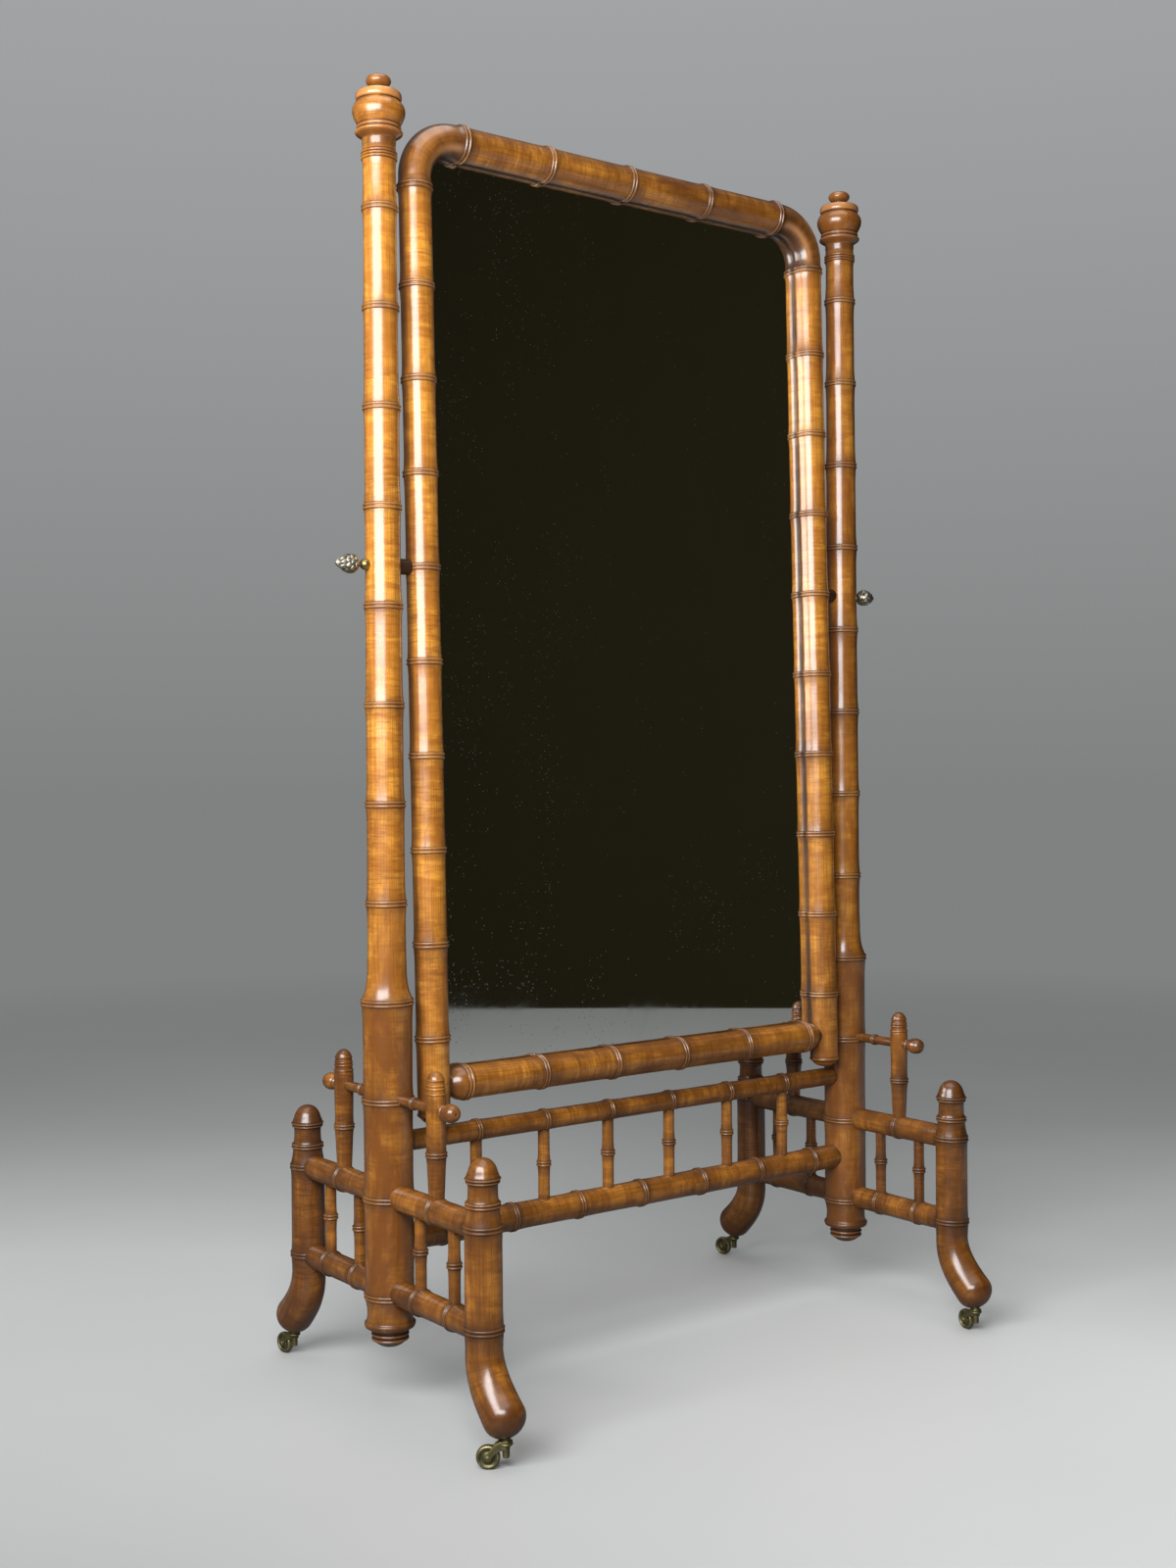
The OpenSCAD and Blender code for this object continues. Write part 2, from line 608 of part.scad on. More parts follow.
spindle_x = [for (i = [0:spindle_count - 1]) (i - (spindle_count - 1) / 2) * spindle_pitch];
module stretcher_stick(d, rings) {
    along_x() {
        stick(concat([[d / 2, post_seat - post_x]],
            [for (x = rings) each double_ring(x, d / 2, d / 2)], [[d / 2, post_x - post_seat]]));
        translate([0, 0, post_tenon + joint_clear - post_x])
            cylinder(d = stretcher_tenon_d, h = 2 * (post_x - post_tenon - joint_clear));
    }
}
module stretcher_upper() {
    color(wood_brown) translate([0, 0, stretcher_up_z]) difference() {
        stretcher_stick(stretcher_up_d, spindle_x);
        for (x = spindle_x) translate([x, 0, -stretcher_up_d])
            cylinder(d = spindle_d + 2 * joint_clear, h = stretcher_up_d - spindle_up_seat);
    }
}
module stretcher_lower() {
    between = [for (i = [0:spindle_count]) (i - spindle_count / 2) * spindle_pitch];
    color(wood_brown) translate([0, 0, stretcher_low_z]) difference() {
        stretcher_stick(stretcher_low_d, between);
        for (x = spindle_x) translate([x, 0, spindle_low_seat])
            cylinder(d = spindle_d + 2 * joint_clear, h = stretcher_low_d);
    }
}
module stretcher_spindles() {
    color(wood_brown) for (x = spindle_x) translate([x, 0, 0])
        spindle(stretcher_low_z + spindle_low_seat, stretcher_up_z - spindle_up_seat, spindle_d);
}

// Mirror frame

// What is cut from the back of the frame for the glass and the wider backboard,
// each as [distance inside the frame's axes, face of the step]
rebates = [[glass_edge, glass_set], [board_edge, board_set]];
module rebate_cut() {
    for (step = rebates) {
        half_w = stile_x - step[0];
        low = -frame_down + step[0];
        high = frame_up - step[0];
        corner_r = elbow_bend - step[0];
        translate([-half_w, step[1], low])
            cube([2 * half_w, rebate_back, corner_s - low]);
        translate([-corner_x, step[1], corner_s - 1])
            cube([2 * corner_x, rebate_back, high - corner_s + 1]);
        for (side = [LEFT, RIGHT])
            translate([side * corner_x, step[1], corner_s]) along_y()
                cylinder(r = corner_r, h = rebate_back);
    }
}
stile_r = stile_d / 2;
tail_s = -frame_down - stile_tail;
stile_ring_count = 4;
stile_points = concat(
    [[0.4, tail_s], [9, tail_s + 0.8], [15, tail_s + 3.2], [stile_r - 4, tail_s + 7.6],
     [stile_r - 2.4, tail_s + 11]],
    bead(tail_s + 13.4, stile_r - 1.4, stile_r + 0.8, bead_h),
    [[stile_r - 0.4, tail_s + 16.4], [stile_r, tail_s + 22]],
    [for (i = [-stile_ring_count - 1:stile_ring_count - 1])
        each double_ring(i * stile_pitch, stile_r, stile_r)],
    half_ring(elbow_joint_s, stile_r));
module stile(side) {
    color(wood_honey) in_frame() difference() {
        translate([side * stile_x, 0, 0]) stick(stile_points);
        rebate_cut();
        // Socket of the bottom rail
        translate([side * stile_x, 0, -frame_down]) rotate([0, -90 * side, 0])
            socket(stile_d, neck_seat, neck_tenon, neck_d, neck_tenon_d);
        // Hole of the dowel that joins the elbow
        translate([side * stile_x, 0, elbow_joint_s - dowel_l / 2 - joint_clear])
            cylinder(d = dowel_d + 2 * joint_clear, h = dowel_l);
        // Seat of the pivot block and hole of the threaded bush
        translate([side * stile_x, 0, 0]) rotate([0, 90 * side, 0]) {
            translate([0, 0, block_stile_seat])
                cylinder(d = block_d + 2 * joint_clear, h = stile_d);
            translate([0, 0, -bush_end])
                cylinder(d = bush_d + 2 * joint_clear, h = stile_d);
        }
        board_screw_shanks(joint_clear);
    }
}
module frame_stile_left() { stile(LEFT); }
module frame_stile_right() { stile(RIGHT); }

// An elbow end: the plain tube swells into the second half of the shared ring
module elbow_collar(r_ring) {
    stick(flipped(concat([[elbow_r, -elbow_end - bend_lap], [elbow_r, -elbow_end * 0.7]],
        [[r_ring + flare_rise, -groove_w / 2 - bead_h]],
        bead(-(groove_w + bead_h) / 2, r_ring + flare_rise, r_ring + ring_rise, bead_h),
        [[r_ring + flare_rise, 0]]), 0));
}
module elbow(side) {
    color(wood_dark) in_frame() difference() {
        translate([side * corner_x, 0, corner_s]) {
            rotate([90, 0, side == LEFT ? 180 : 0]) bend(elbow_bend, elbow_r, 90 + bend_start);
            translate([side * elbow_bend, 0, -elbow_end]) elbow_collar(stile_d / 2);
            translate([-side * elbow_end, 0, elbow_bend]) rotate([0, 90 * side, 0])
                elbow_collar(top_rail_d / 2);
        }
        rebate_cut();
        frame_dowel_pair(side, joint_clear);
    }
}
module frame_elbow_left() { elbow(LEFT); }
module frame_elbow_right() { elbow(RIGHT); }

// The two dowels of one elbow, grown by a clearance where they are cut as holes
module frame_dowel_pair(side, grow) {
    translate([side * stile_x, 0, elbow_joint_s - dowel_l / 2 - grow])
        cylinder(d = dowel_d + 2 * grow, h = dowel_l + 2 * grow);
    translate([side * elbow_joint_x, 0, frame_up]) along_x()
        translate([0, 0, -dowel_l / 2 - grow])
            cylinder(d = dowel_d + 2 * grow, h = dowel_l + 2 * grow);
}
module frame_dowels() {
    color(wood_honey) in_frame() for (side = [LEFT, RIGHT]) frame_dowel_pair(side, 0);
}

top_r = top_rail_d / 2;
module frame_top_rail() {
    points = concat(
        flipped(half_ring(elbow_joint_x, top_r), 0),
        [for (i = [-1:1]) each double_ring(i * top_pitch, top_r, top_r)],
        half_ring(elbow_joint_x, top_r));
    color(wood_honey) in_frame() difference() {
        translate([0, 0, frame_up]) along_x() stick(points);
        rebate_cut();
        for (side = [LEFT, RIGHT]) frame_dowel_pair(side, joint_clear);
        board_screw_shanks(joint_clear);
    }
}

bottom_r = bottom_rail_d / 2;
rail_end = stile_x - neck_seat;
// The rounded end runs from the last bead to just short of the stile, down to the neck
bead_end_x = end_ring_x + groove_w / 2 + bead_h;
rounded_l = stile_x - stile_r - face_gap - bead_end_x;
rounded_end = [for (a = [15:15:90])
    [neck_d / 2 + (bottom_r + flare_rise - neck_d / 2) * cos(a), bead_end_x + rounded_l * sin(a)]];
module frame_bottom_rail() {
    half = concat(
        [for (x = [0.5, 1.5] * bottom_pitch) each double_ring(x, bottom_r, bottom_r)],
        half_ring(end_ring_x, bottom_r),
        flipped(bead(end_ring_x - (groove_w + bead_h) / 2, bottom_r + flare_rise,
            bottom_r + ring_rise, bead_h), end_ring_x),
        rounded_end, [[neck_d / 2, rail_end]]);
    color(wood_honey) in_frame() difference() {
        translate([0, 0, -frame_down]) along_x() {
            stick(concat(flipped(half, 0), half));
            translate([0, 0, neck_tenon + joint_clear - stile_x])
                cylinder(d = neck_tenon_d, h = 2 * (stile_x - neck_tenon - joint_clear));
        }
        rebate_cut();
        board_screw_shanks(joint_clear);
    }
}

// A flat panel that fills one step of the rebate, its upper corners rounded
module panel(step, t) {
    edge = step[0] + joint_clear;
    half_w = stile_x - edge;
    low = -frame_down + edge;
    translate([0, step[1] + joint_clear + t, 0]) rotate([90, 0, 0]) linear_extrude(t) {
        translate([-half_w, low]) square([2 * half_w, corner_s - low]);
        translate([-corner_x, corner_s - 1]) square([2 * corner_x, elbow_bend - edge + 1]);
        for (side = [LEFT, RIGHT]) translate([side * corner_x, corner_s])
            circle(r = elbow_bend - edge);
    }
}
module mirror_glass() {
    color(glass_grey) in_frame() panel(rebates[0], glass_t);
}
module backboard() {
    color(board_brown) in_frame() difference() {
        panel(rebates[1], board_t);
        board_screw_shanks(joint_clear);
        at_board_screws() translate([0, 0, -board_screw_d - joint_clear])
            board_screw_head(joint_clear);
    }
}
// Where the screws go in: their points lie along the stiles and the two rails
side_screws = 5;
end_screws = 3;
side_screw_pitch = (frame_up + frame_down) / side_screws;
end_screw_pitch = 2 * stile_x / (end_screws + 1);
module at_board_screws() {
    for (side = [LEFT, RIGHT], i = [0:side_screws - 1])
        translate([side * (stile_x - board_screw_edge), board_back + joint_clear,
            -frame_down + (i + 0.4) * side_screw_pitch]) rotate([-90, 0, 0]) children();
    for (s = [frame_up - board_screw_edge, -frame_down + board_screw_edge], i = [1:end_screws])
        translate([i * end_screw_pitch - stile_x, board_back + joint_clear, s])
            rotate([-90, 0, 0]) children();
}
module board_screw_shanks(grow) {
    at_board_screws() translate([0, 0, -board_screw_l - grow])
        cylinder(d = board_screw_d + 2 * grow, h = board_screw_l + grow - 0.5);
}
module board_screw_head(grow) {
    cylinder(d1 = board_screw_d + 2 * grow, d2 = board_screw_head_d + 2 * grow,
        h = board_screw_d + grow + 0.01);
}
module backboard_screws() {
    slot_w = board_screw_d / 4;
    color(brass_aged) in_frame() at_board_screws() difference() {
        union() {
            translate([0, 0, -board_screw_l])
                cylinder(d = board_screw_d, h = board_screw_l - board_screw_d + 0.2);
            translate([0, 0, -board_screw_d]) cylinder(d1 = board_screw_d,
                d2 = board_screw_head_d, h = board_screw_d);
        }
        translate([-board_screw_head_d, -slot_w / 2, -slot_w])
            cube([2 * board_screw_head_d, slot_w, 2 * slot_w]);
    }
}

// Pivots: a block bears on the post's inner flat, a bush in the stile takes the screw

module pivot_block(side) {
    from = post_x - block_post_seat - face_gap;
    to = stile_x + block_stile_seat + joint_clear;
    color(wood_dark) translate([0, 0, pivot_z]) rotate([0, 90 * side, 0])
        translate([0, 0, to]) difference() {
            cylinder(d = block_d, h = from - to);
            translate([0, 0, -1])
                cylinder(d = shank_d + 2 * running_clear, h = from - to + 2);
        }
}
module pivot_block_left() { pivot_block(LEFT); }
module pivot_block_right() { pivot_block(RIGHT); }
module pivot_bushes() {
    from = stile_x - bush_end + joint_clear;
    to = stile_x + block_stile_seat - joint_clear;
    color(brass_aged) for (side = [LEFT, RIGHT])
        translate([0, 0, pivot_z]) rotate([0, 90 * side, 0]) translate([0, 0, from])
            difference() {
                cylinder(d = bush_d, h = to - from);
                translate([0, 0, 2]) cylinder(d = shank_d + 2 * running_clear, h = to - from);
            }
}
// Thumb screw outside the post: a ball collar, a neck, a ring of leaves and a bud
knob_r = knob_d / 2;
collar_r = collar_d / 2;
knob_k = knob_reach / 58;
knob_points = concat(
    [[collar_r * 0.86, 0]],
    [for (a = [-28:14:56]) [collar_r * cos(a), (7 + 9 * sin(a)) * knob_k]],
    [[4.6, 16.6 * knob_k], [5.4, 18.4 * knob_k], [9.4, 23 * knob_k],
     [knob_r - 1.2, 29 * knob_k], [knob_r, 31.6 * knob_k], [knob_r - 1, 33.6 * knob_k],
     [knob_r - 3.4, 35.4 * knob_k]],
    [for (a = [8:12:80]) [(knob_r - 2.6) * cos(a), (34 + 23.6 * sin(a)) * knob_k]],
    [[0.4, knob_reach]]);
module thumb_screw(side) {
    face = post_x + collar_post_seat + face_gap;
    tip = stile_x - bush_end + 2 + 2 * face_gap;
    color(brass_aged) translate([0, 0, pivot_z]) rotate([0, 90 * side, 0]) {
        translate([0, 0, face]) stick(knob_points);
        translate([0, 0, tip]) cylinder(d = shank_d, h = face - tip + 2);
    }
}
module thumb_screw_left() { thumb_screw(LEFT); }
module thumb_screw_right() { thumb_screw(RIGHT); }

// Casters, each about its own stem; its trail points along the swivel angle

module at_stem(side, face, swivel = 0) {
    translate([side * post_x, face * stem_y, 0]) rotate([0, 0, swivel]) children();
}
module caster_socket() {
    color(brass_aged) difference() {
        translate([0, 0, socket_face]) {
            cylinder(d = socket_flange_d, h = socket_flange_t);
            cylinder(d = socket_d, h = socket_l);
        }
        translate([0, 0, socket_face - 1])
            cylinder(d = pintle_d + 2 * running_clear, h = pintle_l + 3);
    }
}
// Side view of a cheek: a web beside the hub that tapers down to the axle's boss
module cheek_outline() {
    polygon([[0, hub_z + 1], [0, horn_top - 2], [web_x, horn_top - 1],
        [web_x + 1, horn_top - 2.4], [trail + 2, wheel_d / 2 + boss_r * 0.92],
        [trail - 2, wheel_d / 2 - boss_r * 0.92], [web_x, hub_z + 1]]);
    translate([trail, wheel_d / 2]) circle(r = boss_r);
}
module caster_horn() {
    color(brass_aged) difference() {
        union() {
            translate([0, 0, hub_z]) cylinder(d = hub_d, h = horn_top - hub_z);
            translate([0, 0, horn_top - 1]) cylinder(d = pintle_d, h = pintle_l + 1);
            for (s = [-1, 1]) translate([0, s * (cheek_y + cheek_t / 2) + cheek_t / 2, 0])
                rotate([90, 0, 0]) linear_extrude(cheek_t) cheek_outline();
            translate([0, -cheek_y - 0.5, hub_z + 1])
                cube([web_x, 2 * cheek_y + 1, horn_top - 3 - hub_z]);
        }
        translate([trail, -wheel_w, wheel_d / 2]) along_y()
            cylinder(d = axle_d + 2 * joint_clear, h = 2 * wheel_w);
    }
}
module caster_axle() {
    half = cheek_y + cheek_t + face_gap;
    color(brass_aged) translate([trail, 0, wheel_d / 2]) along_y() {
        translate([0, 0, -half]) cylinder(d = axle_d, h = 2 * half);
        for (z = [-half - head_t, half]) translate([0, 0, z]) cylinder(d = axle_d + 1.6, h = head_t);
    }
}
wheel_r = wheel_d / 2;
wheel_points = [[axle_d / 2 + running_clear, -wheel_w / 2], [boss_r, -wheel_w / 2],
    [boss_r + 1, -wheel_w / 2 + 1.8], [wheel_r - 4, -wheel_w / 2 + 1.8],
    [wheel_r - 3, -wheel_w / 2 + 0.2], [wheel_r - 1, -wheel_w / 2 + 0.6],
    [wheel_r - 0.2, -wheel_w / 2 + 2], [wheel_r, -wheel_w / 2 + 3.4]];
module caster_wheel() {
    mirrored = [for (i = [len(wheel_points) - 1:-1:0]) [wheel_points[i][0], -wheel_points[i][1]]];
    color(brass_aged) translate([trail, 0, wheel_d / 2]) along_y()
        rotate_extrude() polygon(concat(wheel_points, mirrored));
}
module caster_socket_front_left() { at_stem(LEFT, FRONT) caster_socket(); }
module caster_socket_back_left() { at_stem(LEFT, BACK) caster_socket(); }
module caster_socket_front_right() { at_stem(RIGHT, FRONT) caster_socket(); }
module caster_socket_back_right() { at_stem(RIGHT, BACK) caster_socket(); }
module caster_horn_front_left() { at_stem(LEFT, FRONT, swivel_front_left) caster_horn(); }
module caster_horn_back_left() { at_stem(LEFT, BACK, swivel_back_left) caster_horn(); }
module caster_horn_front_right() { at_stem(RIGHT, FRONT, swivel_front_right) caster_horn(); }
module caster_horn_back_right() { at_stem(RIGHT, BACK, swivel_back_right) caster_horn(); }
module caster_axle_front_left() { at_stem(LEFT, FRONT, swivel_front_left) caster_axle(); }
module caster_axle_back_left() { at_stem(LEFT, BACK, swivel_back_left) caster_axle(); }
module caster_axle_front_right() { at_stem(RIGHT, FRONT, swivel_front_right) caster_axle(); }
module caster_axle_back_right() { at_stem(RIGHT, BACK, swivel_back_right) caster_axle(); }
module caster_wheel_front_left() { at_stem(LEFT, FRONT, swivel_front_left) caster_wheel(); }
module caster_wheel_back_left() { at_stem(LEFT, BACK, swivel_back_left) caster_wheel(); }
module caster_wheel_front_right() { at_stem(RIGHT, FRONT, swivel_front_right) caster_wheel(); }
module caster_wheel_back_right() { at_stem(RIGHT, BACK, swivel_back_right) caster_wheel(); }

post_left();
post_right();
finial_left();
finial_right();
drop_left();
drop_right();
leg_front_left();
leg_back_left();
leg_front_right();
leg_back_right();
rail_upper_front_left();
rail_upper_back_left();
rail_upper_front_right();
rail_upper_back_right();
rail_lower_front_left();
rail_lower_back_left();
rail_lower_front_right();
rail_lower_back_right();
end_spindles_left();
end_spindles_right();
cross_post_front_left();
cross_post_back_left();
cross_post_front_right();
cross_post_back_right();
cross_pegs();
cross_balls();
stretcher_upper();
stretcher_lower();
stretcher_spindles();
frame_stile_left();
frame_stile_right();
frame_elbow_left();
frame_elbow_right();
frame_top_rail();
frame_bottom_rail();
frame_dowels();
mirror_glass();
backboard();
backboard_screws();
pivot_block_left();
pivot_block_right();
pivot_bushes();
thumb_screw_left();
thumb_screw_right();
caster_socket_front_left();
caster_socket_back_left();
caster_socket_front_right();
caster_socket_back_right();
caster_horn_front_left();
caster_horn_back_left();
caster_horn_front_right();
caster_horn_back_right();
caster_axle_front_left();
caster_axle_back_left();
caster_axle_front_right();
caster_axle_back_right();
caster_wheel_front_left();
caster_wheel_back_left();
caster_wheel_front_right();
caster_wheel_back_right();
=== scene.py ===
"""Cheval mirror in turned, bamboo-ringed wood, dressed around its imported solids.

Sizes are in millimetres, in the frame of the solids: +X along the width, +Y to the back, +Z up,
with the origin on the floor midway between the posts. Meshes are written in metres.
"""

import json
import logging
import math
from dataclasses import dataclass
from enum import Enum

import bpy
import numpy as np
from mathutils import Matrix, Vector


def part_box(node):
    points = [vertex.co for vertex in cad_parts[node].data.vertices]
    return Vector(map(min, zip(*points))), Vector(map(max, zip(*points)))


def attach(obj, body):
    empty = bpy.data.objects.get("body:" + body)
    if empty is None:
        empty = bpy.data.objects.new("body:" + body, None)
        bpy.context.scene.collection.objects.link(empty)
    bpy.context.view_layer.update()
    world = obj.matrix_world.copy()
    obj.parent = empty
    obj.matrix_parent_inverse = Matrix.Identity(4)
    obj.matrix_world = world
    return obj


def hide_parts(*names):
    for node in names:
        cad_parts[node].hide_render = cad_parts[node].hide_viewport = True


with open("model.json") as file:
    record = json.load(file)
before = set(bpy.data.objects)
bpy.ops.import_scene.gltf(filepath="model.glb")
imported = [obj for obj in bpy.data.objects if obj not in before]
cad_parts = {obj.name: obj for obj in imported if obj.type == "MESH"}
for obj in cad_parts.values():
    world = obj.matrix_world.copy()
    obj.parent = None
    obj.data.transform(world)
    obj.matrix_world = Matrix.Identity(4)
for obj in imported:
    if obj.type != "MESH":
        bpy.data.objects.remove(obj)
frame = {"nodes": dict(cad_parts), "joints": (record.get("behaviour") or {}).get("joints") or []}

MM = 0.001
TURN = 2 * math.pi
LOG = logging.getLogger("cheval_mirror")

Vec3 = tuple[float, float, float]
Outline = list[tuple[float, float]]
Streak = tuple[float, float, float, float]
Socket = bpy.types.NodeSocket
Colour = Socket | Vec3


class Half(Enum):
    """A choice of one half of the mirror, whose value is the sign of that half's axis."""

    @property
    def label(self) -> str:
        """The word for it in the names of the solids."""
        return self.name.lower()


class Side(Half):
    """The left or right half, seen from the front."""

    LEFT = -1
    RIGHT = 1


class Face(Half):
    """The front or back half."""

    FRONT = -1
    BACK = 1


def solid_box(node: str) -> tuple[np.ndarray, np.ndarray]:
    """The lowest and highest corner of one solid at rest.

    Args:
        node: name of the CAD node.

    Returns:
        The two corners in millimetres.
    """
    low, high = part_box(node)
    return np.array(low) / MM, np.array(high) / MM


def joint_place(name: str) -> np.ndarray:
    """Where a joint of the frame sits.

    Args:
        name: name of the joint.

    Returns:
        Its position in millimetres.
    """
    found = next(j for j in frame["joints"] if j["name"] == name)
    return np.array(found["pos_m"], float) / MM


def axis_x(side: Side) -> float:
    """The x of a post's axis, which is also that of its end frame."""
    low, high = solid_box(f"post_{side.label}")
    return float(low[0] + high[0]) / 2


@dataclass(frozen=True)
class Placement:
    """Carries points from a piece's own axes into the frame of the solids."""

    origin: Vec3 = (0.0, 0.0, 0.0)
    x_axis: Vec3 = (1.0, 0.0, 0.0)
    y_axis: Vec3 = (0.0, 1.0, 0.0)
    z_axis: Vec3 = (0.0, 0.0, 1.0)

    def apply(self, points: np.ndarray) -> np.ndarray:
        """Origin plus the points' parts along the three axes.

        Args:
            points: array whose last axis holds x, y and z in the piece's axes.

        Returns:
            The same array in the frame of the solids.
        """
        axes = np.array([self.x_axis, self.y_axis, self.z_axis])
        return points @ axes + np.array(self.origin)

    def then(self, outer: "Placement") -> "Placement":
        """This placement followed by an outer one.

        Args:
            outer: the placement of the axes that this one is given in.

        Returns:
            One placement that does both.
        """
        axes = np.array([self.x_axis, self.y_axis, self.z_axis])
        turned = axes @ np.array([outer.x_axis, outer.y_axis, outer.z_axis])
        origin = outer.apply(np.array(self.origin))
        return Placement(tuple(origin), *(tuple(row) for row in turned))


def upright(x: float, y: float = 0.0, z: float = 0.0) -> Placement:
    """A stick that stands, its own z upwards."""
    return Placement((x, y, z))


def lying_x(x: float, y: float, z: float, sign: int = 1) -> Placement:
    """A stick that lies along X, its own z towards sign times +X."""
    return Placement((x, y, z), (0.0, 0.0, -sign), (0.0, 1.0, 0.0), (sign, 0.0, 0.0))


def lying_y(x: float, y: float, z: float, sign: int = 1) -> Placement:
    """A stick that lies along Y, its own z towards sign times +Y."""
    return Placement((x, y, z), (1.0, 0.0, 0.0), (0.0, 0.0, -sign), (0.0, sign, 0.0))


def circle(columns: int) -> np.ndarray:
    """Evenly spread angles of one whole turn."""
    return np.linspace(0, TURN, columns, endpoint=False)


def hump(z: np.ndarray, at: float, width: float) -> np.ndarray:
    """A bell exp(-((z - at) / width)^2), which is 1 at its middle."""
    return np.exp(-(((z - at) / width) ** 2))


def falling(z: np.ndarray, at: float, width: float) -> np.ndarray:
    """A soft step 1 / (1 + exp((z - at) / width)), from 1 below to 0 above."""
    return 1 / (1 + np.exp((z - at) / width))


def fading(gap: np.ndarray, length: float) -> np.ndarray:
    """exp(-gap / length), and 1 where the gap is below 0."""
    return np.exp(-np.clip(gap, 0, None) / length)


def turned_grid(radius: np.ndarray, z: np.ndarray, around: np.ndarray) -> np.ndarray:
    """Points (r cos v, r sin v, z).

    Args:
        radius: r, one column for all angles or one for each.
        z: height of each row.
        around: the angles v, a row or a grid.

    Returns:
        The points, shape (rows, columns, 3).
    """
    x, y = radius * np.cos(around), radius * np.sin(around)
    return np.stack([x, y, np.broadcast_to(z[:, None], x.shape)], -1)


def cubic_curve(t: np.ndarray, knots: np.ndarray) -> np.ndarray:
    """Points (1-t)^3 a + 3t(1-t)^2 b + 3t^2(1-t) c + t^3 d of the curve with knots a, b, c, d."""
    return np.stack([(1 - t) ** 3, 3 * t * (1 - t) ** 2, 3 * t**2 * (1 - t), t**3], 1) @ knots


def run_length(path: np.ndarray) -> np.ndarray:
    """The length of a path up to each of its points."""
    return np.concatenate([[0], np.cumsum(np.linalg.norm(np.diff(path, axis=0), axis=1))])


def grain_shift(seed: int) -> np.ndarray:
    """Where a piece's grain is cut from, so that no two pieces look alike."""
    return np.array([0.31, 0.17, 0.53]) * seed


def add_object(name: str, data: bpy.types.ID) -> bpy.types.Object:
    """Adds an object to the scene.

    Args:
        name: its name.
        data: the mesh, camera or light that it holds.

    Returns:
        The new object.
    """
    made = bpy.data.objects.new(name, data)
    bpy.context.scene.collection.objects.link(made)
    return made


def looking(right: np.ndarray, forward: np.ndarray, place: Vec3) -> Matrix:
    """The matrix of a camera or lamp that looks along forward.

    Args:
        right: direction to its right.
        forward: direction that it looks in.
        place: where it stands, in millimetres.

    Returns:
        Its matrix in the world.
    """
    matrix = np.eye(4)
    matrix[:3, :3] = np.stack([right, np.cross(right, forward), -forward], 1)
    matrix[:3, 3] = np.array(place) * MM
    return Matrix(matrix.tolist())


def mesh_from_grid(
    name: str,
    grid: np.ndarray,
    floats: dict[str, np.ndarray],
    grain: np.ndarray,
    crease: float = 38.0,
) -> bpy.types.Object:
    """A closed tube from a grid of points: rows along it, columns around it, a fan over each end.

    Quad (u, v) joins points (u, v), (u, v+1), (u+1, v+1), (u+1, v), with v wrapping round. The
    two fans meet at the mean of the first and of the last row. If the signed volume, the sum of
    a . (b x c) over the triangles, is negative, every face is turned round.

    Args:
        name: name of the new object.
        grid: points in millimetres, shape (rows, columns, 3).
        floats: name and one value per grid point of each float attribute.
        grain: the grain coordinates per grid point in metres, shape (rows, columns, 3).
        crease: angle in degrees past which an edge stays sharp.

    Returns:
        The new object, at the origin.
    """
    rows, columns = grid.shape[:2]
    ends = np.array([grid[0].mean(0), grid[-1].mean(0)])
    points = np.vstack([grid.reshape(-1, 3), ends]) * MM
    index = np.arange(rows * columns).reshape(rows, columns)
    following = np.roll(index, -1, axis=1)
    quads = np.stack([index[:-1], following[:-1], following[1:], index[1:]], -1).reshape(-1, 4)
    first, last = rows * columns, rows * columns + 1
    fans = np.vstack([
        np.stack([np.full(columns, first), following[0], index[0]], -1),
        np.stack([np.full(columns, last), index[-1], following[-1]], -1),
    ])
    halves = np.vstack([quads[:, [0, 1, 2]], quads[:, [0, 2, 3]], fans])
    a, b, c = (points[halves[:, k]] for k in range(3))
    if np.einsum("ij,ij->", a, np.cross(b, c)) < 0:
        quads, fans = quads[:, ::-1], fans[:, ::-1]
    mesh = bpy.data.meshes.new(name)
    corners = np.concatenate([quads.ravel(), fans.ravel()]).astype(np.int32)
    starts = np.concatenate([
        np.arange(len(quads)) * 4,
        len(quads) * 4 + np.arange(len(fans)) * 3,
    ]).astype(np.int32)
    mesh.vertices.add(len(points))
    mesh.vertices.foreach_set("co", points.astype(np.float32).ravel())
    mesh.loops.add(len(corners))
    mesh.loops.foreach_set("vertex_index", corners)
    mesh.polygons.add(len(starts))
    mesh.polygons.foreach_set("loop_start", starts)
    mesh.update(calc_edges=True)
    for key, values in floats.items():
        filled = np.append(values.ravel(), [values[0].mean(), values[-1].mean()])
        layer = mesh.attributes.new(key, "FLOAT", "POINT")
        layer.data.foreach_set("value", filled.astype(np.float32))
    local = np.vstack([grain.reshape(-1, 3), grain[0].mean(0), grain[-1].mean(0)])
    mesh.attributes.new("grain", "FLOAT_VECTOR", "POINT").data.foreach_set(
        "vector", local.astype(np.float32).ravel()
    )
    mesh.shade_smooth()
    mesh.set_sharp_from_angle(angle=math.radians(crease))
    return add_object(name, mesh)


def smooth_outline(points: Outline, rounds: int = 3) -> np.ndarray:
    """Cuts the corners of an open outline, again and again: each corner gives way to the points a
    quarter and three quarters along its edges, and the two ends stay.

    Args:
        points: the outline as (radius, height) pairs.
        rounds: how many times the corners are cut.

    Returns:
        The smoother outline, shape (n, 2).
    """
    line = np.array(points, float)
    for _ in range(rounds):
        near = 0.75 * line[:-1] + 0.25 * line[1:]
        far = 0.25 * line[:-1] + 0.75 * line[1:]
        inner = np.stack([near, far], 1).reshape(-1, 2)
        line = np.vstack([line[:1], inner, line[-1:]])
    return line


